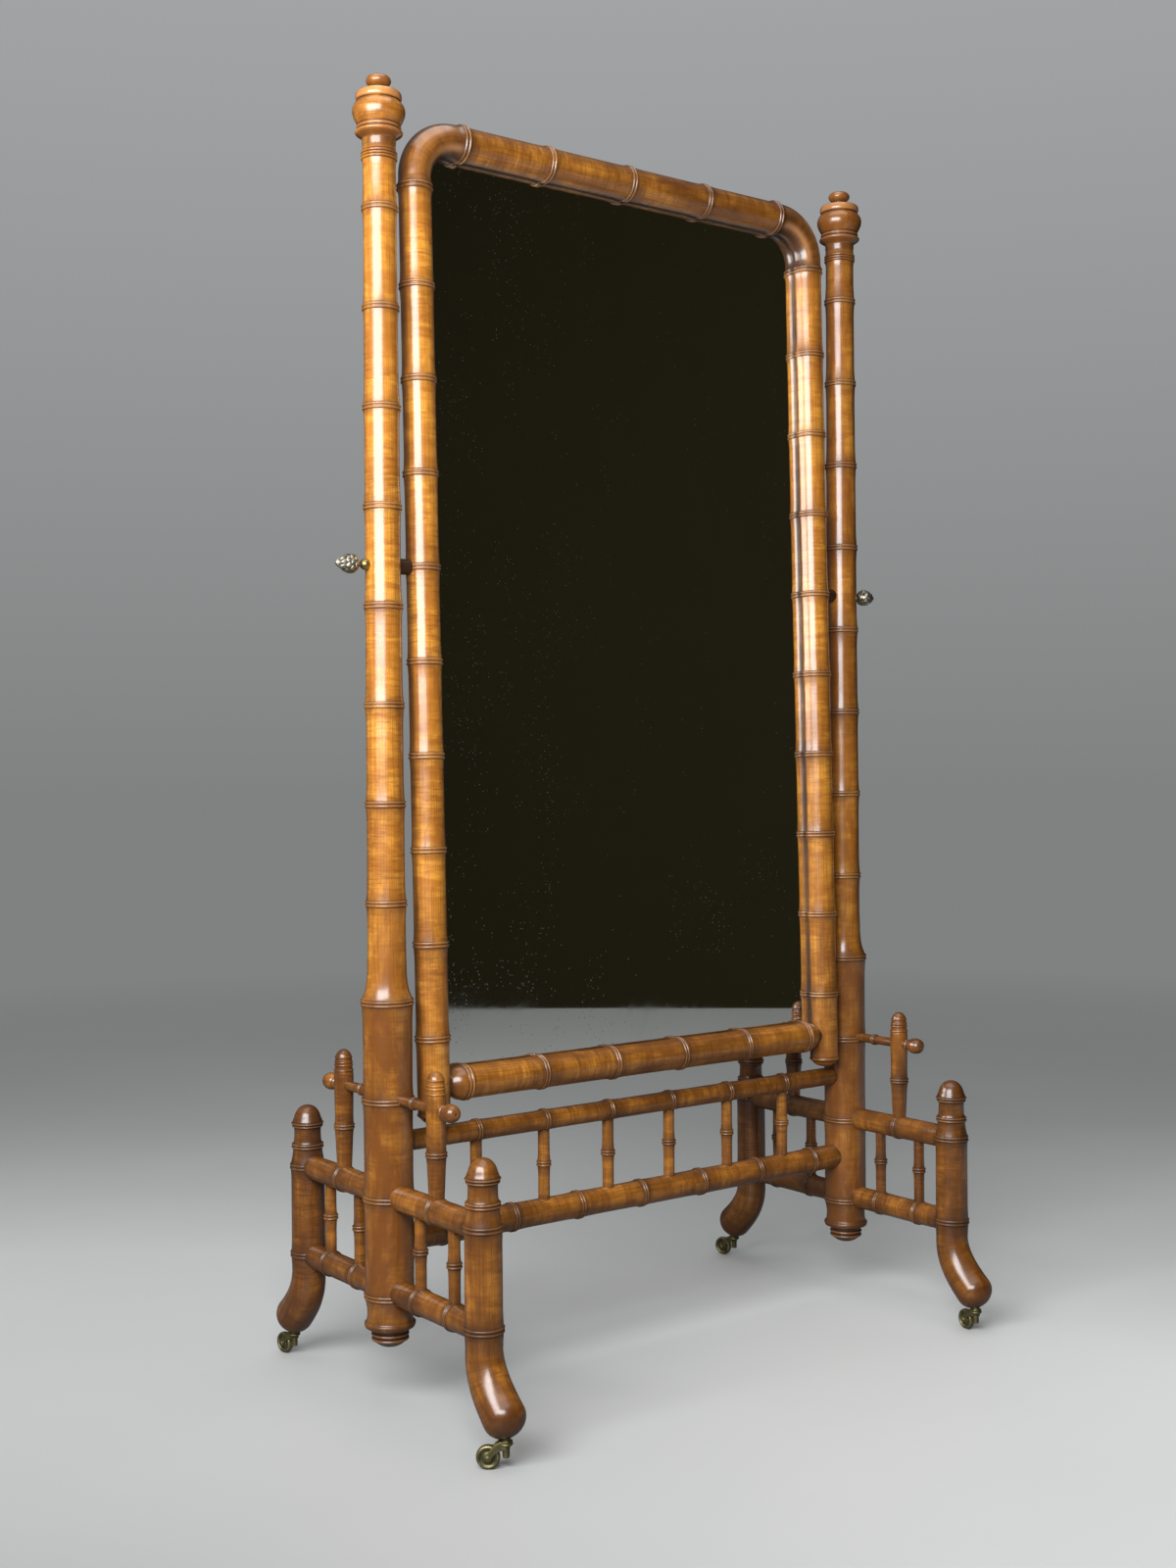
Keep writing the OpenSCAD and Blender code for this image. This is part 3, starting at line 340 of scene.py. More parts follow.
def stations(
    low: float,
    high: float,
    marks: list[float],
    coarse: float = 7.0,
    fine: float = 0.42,
    reach: float = 7.5,
) -> np.ndarray:
    """Heights for the rows of a stick: close together near the marks, wide apart elsewhere.

    The wanted step is fine within reach of a mark and grows to coarse; the rows sit where the
    running sum of 1 / step reaches whole numbers.

    Args:
        low: lowest height.
        high: highest height.
        marks: heights that need close rows.
        coarse: widest step.
        fine: narrowest step.
        reach: distance from a mark within which the step is narrowest.

    Returns:
        The heights, rising.
    """
    sampling, widening, nowhere = 0.1, 14.0, 1e6
    z = np.linspace(low, high, int((high - low) / sampling) + 2)
    gap = np.abs(z[:, None] - np.array([*marks, nowhere])[None, :]).min(1)
    step = fine + (coarse - fine) * np.clip((gap - reach) / widening, 0, 1)
    count = np.concatenate([[0], np.cumsum(np.diff(z) / step[:-1])])
    return np.interp(np.linspace(0, count[-1], int(count[-1]) + 2), count, z)


def with_rows(z: np.ndarray, more: np.ndarray) -> np.ndarray:
    """Adds rows at more heights, and drops any that lie closer than a hundredth of a millimetre.

    Args:
        z: rising heights.
        more: heights to add.

    Returns:
        The rising heights of both.
    """
    both = np.sort(np.concatenate([z, more[(more > z[0]) & (more < z[-1])]]))
    return both[np.concatenate([[True], np.diff(both) > 0.01])]


@dataclass(frozen=True)
class RingStyle:
    """The turned double ring that marks every stick like a joint of bamboo."""

    rise: float = 2.9
    bead: float = 3.7
    groove: float = 1.3
    flare: float = 1.3
    flare_length: float = 28.0
    shade: float = 0.46
    stain: float = 0.0

    def swell(self, z: np.ndarray, places: np.ndarray) -> np.ndarray:
        """How much the rings add to the radius: a flare (1 - d / length)^2 on both sides of a
        ring, or two beads of half an ellipse rise * sqrt(1 - (2 t / bead)^2), the larger.

        Args:
            z: heights of the rows.
            places: heights of the rings.

        Returns:
            The added radius at each height.
        """
        d = np.abs(z[:, None] - places[None, :])
        edge = self.groove / 2 + self.bead
        beyond = np.clip(d - edge, 0, None) / self.flare_length
        flare = self.flare * np.clip(1 - beyond, 0, 1) ** 2
        across = (d - edge + self.bead / 2) / (self.bead / 2)
        bead = (self.rise - self.flare) * np.sqrt(np.clip(1 - across**2, 0, None))
        return (flare + bead).max(1, initial=0)

    def soil(self, z: np.ndarray, places: np.ndarray) -> np.ndarray:
        """Dark marks at the rings: painted shade in the lines at the feet of the beads and in the groove
        between them, and a soft dark band and stained beads about them.

        Args:
            z: heights of the rows.
            places: heights of the rings.

        Returns:
            Darkness from 0 to 1 at each height.
        """
        d = np.abs(z[:, None] - places[None, :])
        edge = self.groove / 2 + self.bead
        # painted shade: dark lines at the feet of the beads and in the groove between the beads
        foot = hump(d - edge, 0.35, 0.75)
        cleft = 0.75 * hump(d, 0.0, 0.6)
        shade = self.shade * fading(d - edge, 9.0)
        beads = self.stain / (1 + np.exp(np.clip((d - edge - 0.3) / 0.5, -30, 30)))
        return np.maximum.reduce([foot, cleft, shade, beads]).max(1, initial=0)

    def worn(self, z: np.ndarray, places: np.ndarray) -> np.ndarray:
        """Lightening on the crests of the beads.

        Args:
            z: heights of the rows.
            places: heights of the rings.

        Returns:
            Lightening from 0 to 1 at each height.
        """
        d = np.abs(z[:, None] - places[None, :])
        crest = (d - self.groove / 2 - self.bead / 2) / (0.36 * self.bead)
        return np.exp(-(crest**2)).max(1, initial=0)


def brown_rings(rise: float, bead: float, groove: float, flare: float, length: float) -> RingStyle:
    """Rings of the browner wood, whose beads are stained."""
    return RingStyle(rise, bead, groove, flare, length, shade=0.58, stain=0.35)


@dataclass
class Stick:
    """A turned stick: its radius is a smooth body line plus its rings, with a maker's small
    unevenness, and its rows and columns carry grain, darkness from old polish and painted shade,
    paler crests and tone for the finish."""

    name: str
    low: float
    high: float
    body: list[tuple[float, float]]
    rings: list[float]
    style: RingStyle
    place: Placement
    columns: int = 56
    tone: float = 0.0
    seed: int = 0
    end_soil: float = 0.35
    coarse: float = 7.0

    def radius(self, z: np.ndarray) -> np.ndarray:
        """The body line, read straight between its (height, radius) points, plus the rings."""
        heights, radii = np.array(self.body, float).T
        return np.interp(z, heights, radii) + self.style.swell(z, np.array(self.rings))

    def rows(self) -> np.ndarray:
        """Heights of the rows, close together at the rings."""
        return stations(self.low, self.high, self.rings, self.coarse)

    def build(self) -> bpy.types.Object:
        """The stick as an object, its radius the body line and its rings."""
        z = self.rows()
        return self.surface(z, self.radius(z))

    def ends(self, z: np.ndarray) -> np.ndarray:
        """Dirt gathered where the stick enters its neighbours, from 0 to 1 at each height."""
        gap = np.minimum(z - self.low, self.high - z) - 8.0
        return self.end_soil * np.maximum(fading(gap, 7.0), 0.45 * fading(gap, 26.0))

    def surface(
        self, z: np.ndarray, r: np.ndarray, lines: tuple[float, ...] = ()
    ) -> bpy.types.Object:
        """Turns a radius line into a mesh. The radius is uneven by under a hundredth, a sum of
        two slow waves along the stick and around it.

        Args:
            z: heights of the rows.
            r: radius of each row.
            lines: heights of more dark lines, painted shade in the fine grooves.

        Returns:
            The new object.
        """
        around = circle(self.columns)
        phase = self.seed * 1.7
        wave = 0.004 * np.sin(z[:, None] / 61.0 + 2 * around[None, :] + phase)
        wave = wave + 0.003 * np.sin(z[:, None] / 23.0 - around[None, :] + 2 * phase)
        local = turned_grid(r[:, None] * (1 + wave), z, around)
        places = np.array(self.rings)
        soil = np.maximum(self.style.soil(z, places), self.ends(z))
        for line in lines:
            soil = np.maximum(soil, hump(z, line, 0.8))
        floats = spread_rows(
            {"soil": soil, "worn": self.style.worn(z, places), "tone": np.full(z.shape, self.tone)},
            self.columns,
        )
        grain = local * MM + grain_shift(self.seed)
        return mesh_from_grid(self.name, self.place.apply(local), floats, grain)


def plain_stick(
    name: str, low: float, high: float, radius: float, *fields: object, **more: float
) -> bpy.types.Object:
    """A stick of one radius between its rings.

    Args:
        name: name of the piece.
        low: its lowest height.
        high: its highest height.
        radius: its radius.
        fields: its rings, their style, its place and its columns.
        more: its other fields by name.

    Returns:
        The stick as an object.
    """
    return Stick(name, low, high, [(low, radius), (high, radius)], *fields, **more).build()


def spread_rows(values: dict[str, np.ndarray], columns: int) -> dict[str, np.ndarray]:
    """Gives every column of a grid its row's value.

    Args:
        values: name and one value per row.
        columns: how many columns the grid has.

    Returns:
        Name and one value per grid point.
    """
    return {key: np.repeat(row[:, None], columns, axis=1) for key, row in values.items()}


@dataclass
class Turning:
    """A turned piece given by its outline: finials, drops, balls, knobs and wheels."""

    name: str
    outline: np.ndarray
    place: Placement
    columns: int = 64
    tone: float = 0.0
    seed: int = 0
    soil: float = 0.8
    worn: float = 0.8
    grime: float = 0.0
    zones: tuple[tuple[float, float, float, float], ...] = ()

    def build(self) -> bpy.types.Object:
        """Point (u, v) is (r cos v, r sin v, z) along the outline. Darkening is where the outline
        bends inwards, painted shade in the hollows of the wooden pieces and patina in those of the
        brass ones, and the painted shade level darkens the whole piece evenly; paler is where it
        bends outwards, from its turning angle smoothed over a few rows. Each zone (low, high,
        lightening, tone) sets a band of heights.

        Returns:
            The piece as an object.
        """
        r, z = np.maximum(self.outline[:, 0], 0.02), self.outline[:, 1]
        local = turned_grid(r[:, None], z, circle(self.columns))
        bend = self.bending(r, z)
        # painted shade in the hollows of wood, patina in those of brass
        soil = np.maximum(self.soil * np.clip(-bend, 0, 1), self.grime)
        worn = self.worn * np.clip(bend - 0.15, 0, 1)
        tone = np.full(z.shape, self.tone)
        for low, high, zone_worn, zone_tone in self.zones:
            inside = falling(z, low, -0.4) * falling(z, high, 0.4)
            worn = np.maximum(worn, zone_worn * inside)
            tone = tone + (zone_tone - self.tone) * inside
        floats = spread_rows({"soil": soil, "worn": worn, "tone": tone}, self.columns)
        grain = local * MM + grain_shift(self.seed)
        return mesh_from_grid(self.name, self.place.apply(local), floats, grain)

    @staticmethod
    def bending(r: np.ndarray, z: np.ndarray) -> np.ndarray:
        """Signed turning of an outline per millimetre, smoothed: positive where it bulges.

        Args:
            r: radii along the outline.
            z: heights along the outline.

        Returns:
            Values mostly between -1 and 1.
        """
        heading = np.unwrap(np.arctan2(np.gradient(r), np.gradient(z)))
        length = np.hypot(np.gradient(r), np.gradient(z)) + 1e-3
        turning = -np.gradient(heading) / length
        kernel = np.ones(5) / 5
        return np.convolve(np.clip(turning * 3.2, -1.5, 1.5), kernel, mode="same")


class Graph:
    """A tree of shader nodes, written node by node."""

    def __init__(self, owner: bpy.types.Material | bpy.types.World) -> None:
        """Empties a node tree.

        Args:
            owner: the material or world whose tree it is.
        """
        owner.use_nodes = True
        self.tree = owner.node_tree
        self.tree.nodes.clear()

    def fill(self, node: bpy.types.Node, inputs: dict[str | int, Socket | float | Vec3]) -> None:
        """Links a node's inputs to sockets or sets them to constants.

        Args:
            node: the node.
            inputs: by the input's name or number, a socket, a number, or three numbers.
        """
        for key, value in inputs.items():
            entry = node.inputs[key]
            if isinstance(value, Socket):
                self.tree.links.new(value, entry)
            elif entry.type == "RGBA":
                entry.default_value = (*value, 1)
            else:
                entry.default_value = value

    def node(
        self, kind: str, inputs: dict[str | int, Socket | float | Vec3], **settings: str
    ) -> bpy.types.Node:
        """Makes one node.

        Args:
            kind: Blender's name of it, without ShaderNode.
            inputs: what fills its inputs.
            settings: its own settings.

        Returns:
            The node.
        """
        node = self.tree.nodes.new("ShaderNode" + kind)
        for key, value in settings.items():
            setattr(node, key, value)
        self.fill(node, inputs)
        return node

    def place(self, source: str = "Object") -> Socket:
        """Coordinates: the object's own in metres or, for a world, the direction as Generated."""
        return self.node("TexCoord", {}).outputs[source]

    def part(self, vector: Socket, axis: int) -> Socket:
        """One part of a vector."""
        return self.node("SeparateXYZ", {0: vector}).outputs[axis]

    def measure(self, operation: str, vector: Socket, other: Vec3 = (0.0, 0.0, 0.0)) -> Socket:
        """A number from a vector: DOT_PRODUCT or DISTANCE with another, or its LENGTH."""
        found = self.node("VectorMath", {0: vector, 1: other}, operation=operation)
        return found.outputs["Value"]

    def rays(self, kind: str) -> Socket:
        """1 for a ray of the named kind, such as Camera, and 0 for any other."""
        return self.node("LightPath", {}).outputs[f"Is {kind} Ray"]

    def ramp(self, value: Socket, start: tuple[float, float], end: tuple[float, float]) -> Socket:
        """Bends a number: straight from one (in, out) pair to the other, and flat beyond.

        Args:
            value: the number.
            start: the pair with the lower number in.
            end: the pair with the higher.

        Returns:
            The new number.
        """
        ends = {"From Min": start[0], "To Min": start[1], "From Max": end[0], "To Max": end[1]}
        return self.node("MapRange", {"Value": value, **ends}).outputs["Result"]

    def math(self, operation: str, first: Socket, second: Socket | float) -> Socket:
        """One sum on two numbers, by Blender's name of it, such as MULTIPLY."""
        return self.node("Math", {0: first, 1: second}, operation=operation).outputs[0]

    def blend(self, share: Socket, first: Colour, second: Colour) -> Socket:
        """Mixes two colours, from all of the first at 0 to all of the second at 1."""
        return self.node("Mix", {0: share, 6: first, 7: second}, data_type="RGBA").outputs[2]

    def either(self, share: Socket, first: Socket, second: Socket) -> Socket:
        """Mixes two shaders, from all of the first at 0 to all of the second at 1."""
        return self.node("MixShader", {0: share, 1: first, 2: second}).outputs[0]


class Shader(Graph):
    """A procedural material around one surface shader."""

    def __init__(self, name: str) -> None:
        """Makes the material, its surface shader and its output.

        Args:
            name: name of the material.
        """
        self.material = bpy.data.materials.new(name)
        super().__init__(self.material)
        self.surface = self.node("BsdfPrincipled", {})
        self.output = self.node("OutputMaterial", {0: self.surface.outputs[0]})

    def set(self, **inputs: Socket | float | Vec3) -> None:
        """Fills the surface shader's own inputs, underscores standing for spaces."""
        self.fill(self.surface, {key.replace("_", " "): value for key, value in inputs.items()})

    def attribute(self, name: str, output: str = "Fac") -> Socket:
        """Reads one of the mesh's own attributes, as a number or with "Vector" as a vector."""
        return self.node("Attribute", {}, attribute_name=name).outputs[output]

    def stretched(self, vector: Socket, *scale: float) -> Socket:
        """The coordinates times how many pattern units fit in a metre along each axis."""
        return self.node("Mapping", {"Vector": vector, "Scale": scale}).outputs["Vector"]

    def noise(
        self,
        vector: Socket,
        scale: float = 1.0,
        detail: float = 3.0,
        roughness: float = 0.55,
        distortion: float = 0.0,
    ) -> Socket:
        """Fractal noise from 0 to 1.

        Args:
            vector: where it is read.
            scale: pattern units per unit of vector.
            detail: number of octaves.
            roughness: how strong the fine octaves are.
            distortion: how far the pattern is stirred.

        Returns:
            The noise's value.
        """
        inputs = {"Vector": vector, "Scale": scale, "Detail": detail}
        inputs |= {"Roughness": roughness, "Distortion": distortion}
        return self.node("TexNoise", inputs).outputs["Fac"]

    def scatter(
        self, vector: Socket, scale: float, edge: tuple[float, float], dense: Socket
    ) -> Socket:
        """Round spots, one in each cell whose random number is below the density.

        Args:
            vector: where it is read.
            scale: cells per unit of vector.
            edge: where a spot starts and stops fading, in cells from its centre.
            dense: share of the cells that hold a spot.

        Returns:
            1 in the spots, 0 elsewhere.
        """
        cells = self.node("TexVoronoi", {"Vector": vector, "Scale": scale}).outputs
        chance = self.node("SeparateColor", {0: cells["Color"]}).outputs[0]
        spot = self.ramp(cells["Distance"], (edge[0], 1.0), (edge[1], 0.0))
        return self.math("MULTIPLY", spot, self.math("LESS_THAN", chance, dense))

    def bands(self, vector: Socket, distortion: float) -> Socket:
        """Soft parallel bands along the first axis, from 0 to 1, bent by noise."""
        inputs = {"Vector": vector, "Distortion": distortion, "Scale": 1.0, "Detail": 3.0}
        return self.node("TexWave", {**inputs, "Detail Scale": 1.4}).outputs["Fac"]

    def bump(self, height: Socket, strength: float, distance: float) -> None:
        """Roughens the normal by a height pattern, whose 1 is so many metres high."""
        inputs = {"Height": height, "Strength": strength, "Distance": distance}
        self.set(Normal=self.node("Bump", inputs).outputs[0])


@dataclass(frozen=True)
class VarnishedWood:
    """Curly fruitwood under old varnish: fine stripes across the stick, faint lines and year
    rings along it, slow clouds of colour, dark old polish and painted shade in the hollows, and
    paler crests."""

    name: str
    slot: str
    light: Vec3 = (0.72, 0.310, 0.042)
    mid: Vec3 = (0.44, 0.154, 0.018)
    deep: Vec3 = (0.17, 0.054, 0.009)
    soil: Vec3 = (0.026, 0.010, 0.004)
    worn: Vec3 = (0.56, 0.26, 0.10)
    figure: float = 0.85
    curl: float = 0.52
    roughness: float = 0.30
    coat: float = 0.9

    def build(self) -> bpy.types.Material:
        """The colour is light to mid by the stripes and clouds, deep by the tone attribute, then
        darker by the attribute of old polish and painted shade, and paler by that of crests and
        painted highlight.

        Returns:
            The material.
        """
        s = Shader(self.name)
        grain = s.attribute("grain", "Vector")
        curl = s.noise(s.stretched(grain, 34, 34, 330), detail=4, roughness=0.64, distortion=0.35)
        bars = s.noise(s.stretched(grain, 15, 15, 62), detail=4, roughness=0.6, distortion=0.6)
        lines = s.noise(s.stretched(grain, 330, 330, 9), detail=3, roughness=0.6)
        clouds = s.noise(s.stretched(grain, 30, 30, 9), detail=5, roughness=0.62, distortion=0.4)
        slow = s.noise(s.stretched(grain, 6, 6, 6), detail=2, roughness=0.5)
        flecks = s.noise(s.stretched(grain, 300, 300, 300), detail=2, roughness=0.6)
        years = s.bands(s.stretched(grain, 95, 30, 5.5), 2.2)
        barred = s.math("MULTIPLY", s.ramp(bars, (0.42, 0.0), (0.58, 1.0)), self.figure)
        base = s.blend(barred, self.light, self.mid)
        base = s.blend(s.ramp(clouds, (0.42, 0.0), (0.64, 0.85)), base, self.mid)
        tone = s.attribute("tone")
        near = s.ramp(clouds, (0.34, -0.28), (0.68, 0.42))
        drift = s.math("ADD", near, s.ramp(slow, (0.36, -0.14), (0.64, 0.22)))
        share = s.ramp(s.math("ADD", tone, drift), (0.0, 0.0), (1.0, 0.95))
        browned = s.math("MULTIPLY", share, s.ramp(tone, (0.0, 0.5), (0.15, 1.0)))
        base = s.blend(browned, base, self.deep)
        base = s.blend(s.math("MULTIPLY", years, 0.22), base, self.deep)
        base = s.blend(s.ramp(lines, (0.48, 0.0), (0.70, 0.42)), base, self.deep)
        patches = s.ramp(slow, (0.40, 0.25), (0.56, 1.0))
        curled = s.math("MULTIPLY", s.ramp(curl, (0.50, 0.0), (0.60, 1.0)), patches)
        base = s.blend(s.math("MULTIPLY", curled, self.curl), base, self.deep)
        base = s.blend(s.ramp(flecks, (0.66, 0.0), (0.76, 0.5)), base, self.soil)
        base = s.blend(s.math("MULTIPLY", s.attribute("worn"), 0.45), base, self.worn)
        # darkening: old polish and painted shade together, from the mesh's attribute
        patchy = s.math("MULTIPLY", s.attribute("soil"), s.ramp(clouds, (0.3, 0.75), (0.7, 1.2)))
        darkening = s.ramp(patchy, (0.0, 0.0), (1.0, 0.95))
        handled = s.ramp(clouds, (0.3, self.roughness - 0.05), (0.75, self.roughness + 0.07))
        s.set(
            Base_Color=s.blend(darkening, base, self.soil),
            Roughness=s.math("ADD", handled, s.ramp(darkening, (0.0, 0.0), (1.0, 0.25))),
            Coat_Weight=s.ramp(darkening, (0.45, self.coat), (0.85, 0.08)),
            Coat_Roughness=0.20,
            IOR=1.40,
        )
        relief = s.math("ADD", s.math("MULTIPLY", curl, 0.5), s.math("MULTIPLY", lines, 0.5))
        s.bump(relief, 0.22, 0.0006)
        return s.material


@dataclass(frozen=True)
class AgedBrass:
    """Cast brass gone greenish brown, dark in the hollows and bright where it rubs."""

    name: str
    slot: str = "aged_brass"
    bright: Vec3 = (0.46, 0.36, 0.17)
    dull: Vec3 = (0.17, 0.135, 0.06)
    crust: Vec3 = (0.024, 0.023, 0.013)
    gold: Vec3 = (0.36, 0.27, 0.09)
    roughness: float = 0.34

    def build(self) -> bpy.types.Material:
        """Dull metal clouded with bright, gold by the tone attribute, crust in the hollows and in spots.

        Returns:
            The material.
        """
        s = Shader(self.name)
        place = s.place()
        clouds = s.noise(place, 95.0, 5, 0.65)
        specks = s.noise(place, 900.0, 2, 0.5)
        base = s.blend(s.ramp(clouds, (0.40, 0.0), (0.66, 0.85)), self.dull, self.bright)
        base = s.blend(s.math("MULTIPLY", s.attribute("worn"), 0.8), base, self.bright)
        base = s.blend(s.attribute("tone"), base, self.gold)
        crusted = s.math("MAXIMUM", s.attribute("soil"), s.ramp(specks, (0.58, 0.0), (0.70, 0.75)))
        s.set(
            Base_Color=s.blend(s.ramp(crusted, (0.0, 0.0), (1.0, 0.92)), base, self.crust),
            Roughness=s.ramp(crusted, (0.0, self.roughness), (1.0, 0.75)),
            Metallic=0.92,
        )
        s.bump(clouds, 0.25, 0.0006)
        return s.material


@dataclass(frozen=True)
class OldMirrorPlate:
    """Silvered plate with faint foxing, dust and a few scratches."""

    name: str
    slot: str = "mirror_plate"
    silver: Vec3 = (0.80, 0.81, 0.79)
    fox: Vec3 = (0.30, 0.29, 0.25)

    def build(self) -> bpy.types.Material:
        """Specks are small rounds in some of a scatter's cells, in more of them where a slow
        cloud is dense and towards the left edge.

        Returns:
            The material.
        """
        s = Shader(self.name)
        place = s.place()
        clouds = s.noise(s.stretched(place, 9.0, 9.0, 4.0), 1.0, 5, 0.72, 0.6)
        leftness = s.ramp(s.part(place, 0), (-0.30, 0.10), (0.0, 0.0))
        dense = s.ramp(s.math("ADD", clouds, leftness), (0.54, 0.004), (0.74, 0.38))
        specks = s.scatter(place, 300.0, (0.14, 0.34), dense)
        grains = s.scatter(place, 95.0, (0.05, 0.13), dense)
        spots = s.math("MULTIPLY", s.math("MAXIMUM", specks, grains), 0.8)
        veil = s.ramp(s.noise(place, 2.2, 6, 0.75, 1.2), (0.45, 0.0), (0.85, 0.16))
        faults = s.math("MAXIMUM", spots, veil)
        roughness = s.ramp(faults, (0.0, 0.015), (1.0, 0.55))
        s.set(Base_Color=s.blend(faults, self.silver, self.fox), Roughness=roughness, Metallic=1.0)
        s.bump(s.noise(place, 3.0, 1, 0.4), 0.04, 0.002)
        return s.material


@dataclass(frozen=True)
class BareBoard:
    """Thin unvarnished back panel with long grain, knots of shade and dust."""

    name: str
    slot: str = "back_wood"
    light: Vec3 = (0.36, 0.25, 0.15)
    dark: Vec3 = (0.17, 0.11, 0.065)
    dust: Vec3 = (0.40, 0.37, 0.32)

    def build(self) -> bpy.types.Material:
        """Grain is noise stretched up the board, with rings from a slow bent wave.

        Returns:
            The material.
        """
        s = Shader(self.name)
        place = s.place()
        grain = s.noise(s.stretched(place, 42, 42, 2.2), detail=6, roughness=0.66, distortion=0.7)
        fine = s.noise(s.stretched(place, 520, 520, 14), detail=3, roughness=0.6)
        base = s.blend(s.ramp(grain, (0.34, 0.0), (0.68, 1.0)), self.light, self.dark)
        base = s.blend(s.ramp(fine, (0.48, 0.0), (0.8, 0.55)), base, self.dark)
        clouds = s.noise(place, 4.0, 5, 0.7)
        base = s.blend(s.ramp(clouds, (0.5, 0.0), (0.8, 0.4)), base, self.dust)
        s.set(Base_Color=base, Roughness=s.ramp(fine, (0.3, 0.68), (0.8, 0.88)))
        s.bump(fine, 0.3, 0.0005)
        return s.material


@dataclass(frozen=True)
class Finishes:
    """Every finish of the mirror, made once."""

    honey: VarnishedWood = VarnishedWood("honey_fruitwood", "honey_wood")
    amber: VarnishedWood = VarnishedWood(
        "amber_fruitwood", "honey_wood",
        (0.60, 0.240, 0.032), (0.33, 0.115, 0.014), (0.110, 0.035, 0.007),
    )
    brown: VarnishedWood = VarnishedWood(
        "brown_fruitwood", "brown_wood",
        (0.50, 0.190, 0.025), (0.27, 0.092, 0.012), (0.088, 0.028, 0.006), curl=0.6, coat=0.8,
    )
    dark: VarnishedWood = VarnishedWood(
        "dark_fruitwood", "dark_wood",
        (0.30, 0.108, 0.017), (0.150, 0.050, 0.009), (0.050, 0.017, 0.005), curl=0.5, roughness=0.28,
    )
    brass: AgedBrass = AgedBrass(
        "aged_brass", "aged_brass", (0.40, 0.35, 0.17), (0.18, 0.16, 0.075), roughness=0.42
    )
    silver: AgedBrass = AgedBrass(
        "worn_white_brass", "aged_brass",
        (0.60, 0.55, 0.44), (0.22, 0.19, 0.13), (0.016, 0.014, 0.010), roughness=0.30,
    )
    plate: OldMirrorPlate = OldMirrorPlate("foxed_mirror_plate")
    board: BareBoard = BareBoard("bare_back_board")
    dowel: BareBoard = BareBoard(
        "plain_dowel", "dowel_wood", (0.55, 0.40, 0.24), (0.38, 0.26, 0.15)
    )


FINISHES = Finishes()
Finish = VarnishedWood | AgedBrass | OldMirrorPlate | BareBoard


class Workshop:
    """Keeps the materials, dresses pieces and reports them."""

    def __init__(self) -> None:
        """Starts with no materials made."""
        self.made: dict[str, bpy.types.Material] = {}
        self.pieces = 0

    def material(self, finish: Finish) -> bpy.types.Material:
        """The material of a finish, built on first use."""
        if finish.name not in self.made:
            self.made[finish.name] = finish.build()
        return self.made[finish.name]

    def dress(self, piece: bpy.types.Object, finish: Finish, body: str, *nodes: str) -> None:
        """Gives a new piece its finish and body, and lets it stand for its solids.

        Args:
            piece: the new object.
            finish: its finish.
            body: the body that it moves with.
            nodes: CAD nodes that it replaces.
        """
        piece.data.materials.clear()
        piece.data.materials.append(self.material(finish))
        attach(piece, body)
        if nodes:
            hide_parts(*nodes)
        self.pieces += 1
        LOG.info("%s: %d faces, on %s", piece.name, len(piece.data.polygons), body)

    def keep(self, node: str, finish: Finish) -> None:
        """Leaves a CAD node as it is and gives it a finish.

        Args:
            node: the node's name.
            finish: its finish.
        """
        solid = frame["nodes"][node]
        solid.data.materials.clear()
        solid.data.materials.append(self.material(finish))
        LOG.info("%s: kept from the solids", node)


@dataclass
class SubAssembly:
    """Pieces of the mirror that belong together, and the workshop that dresses them."""

    shop: Workshop


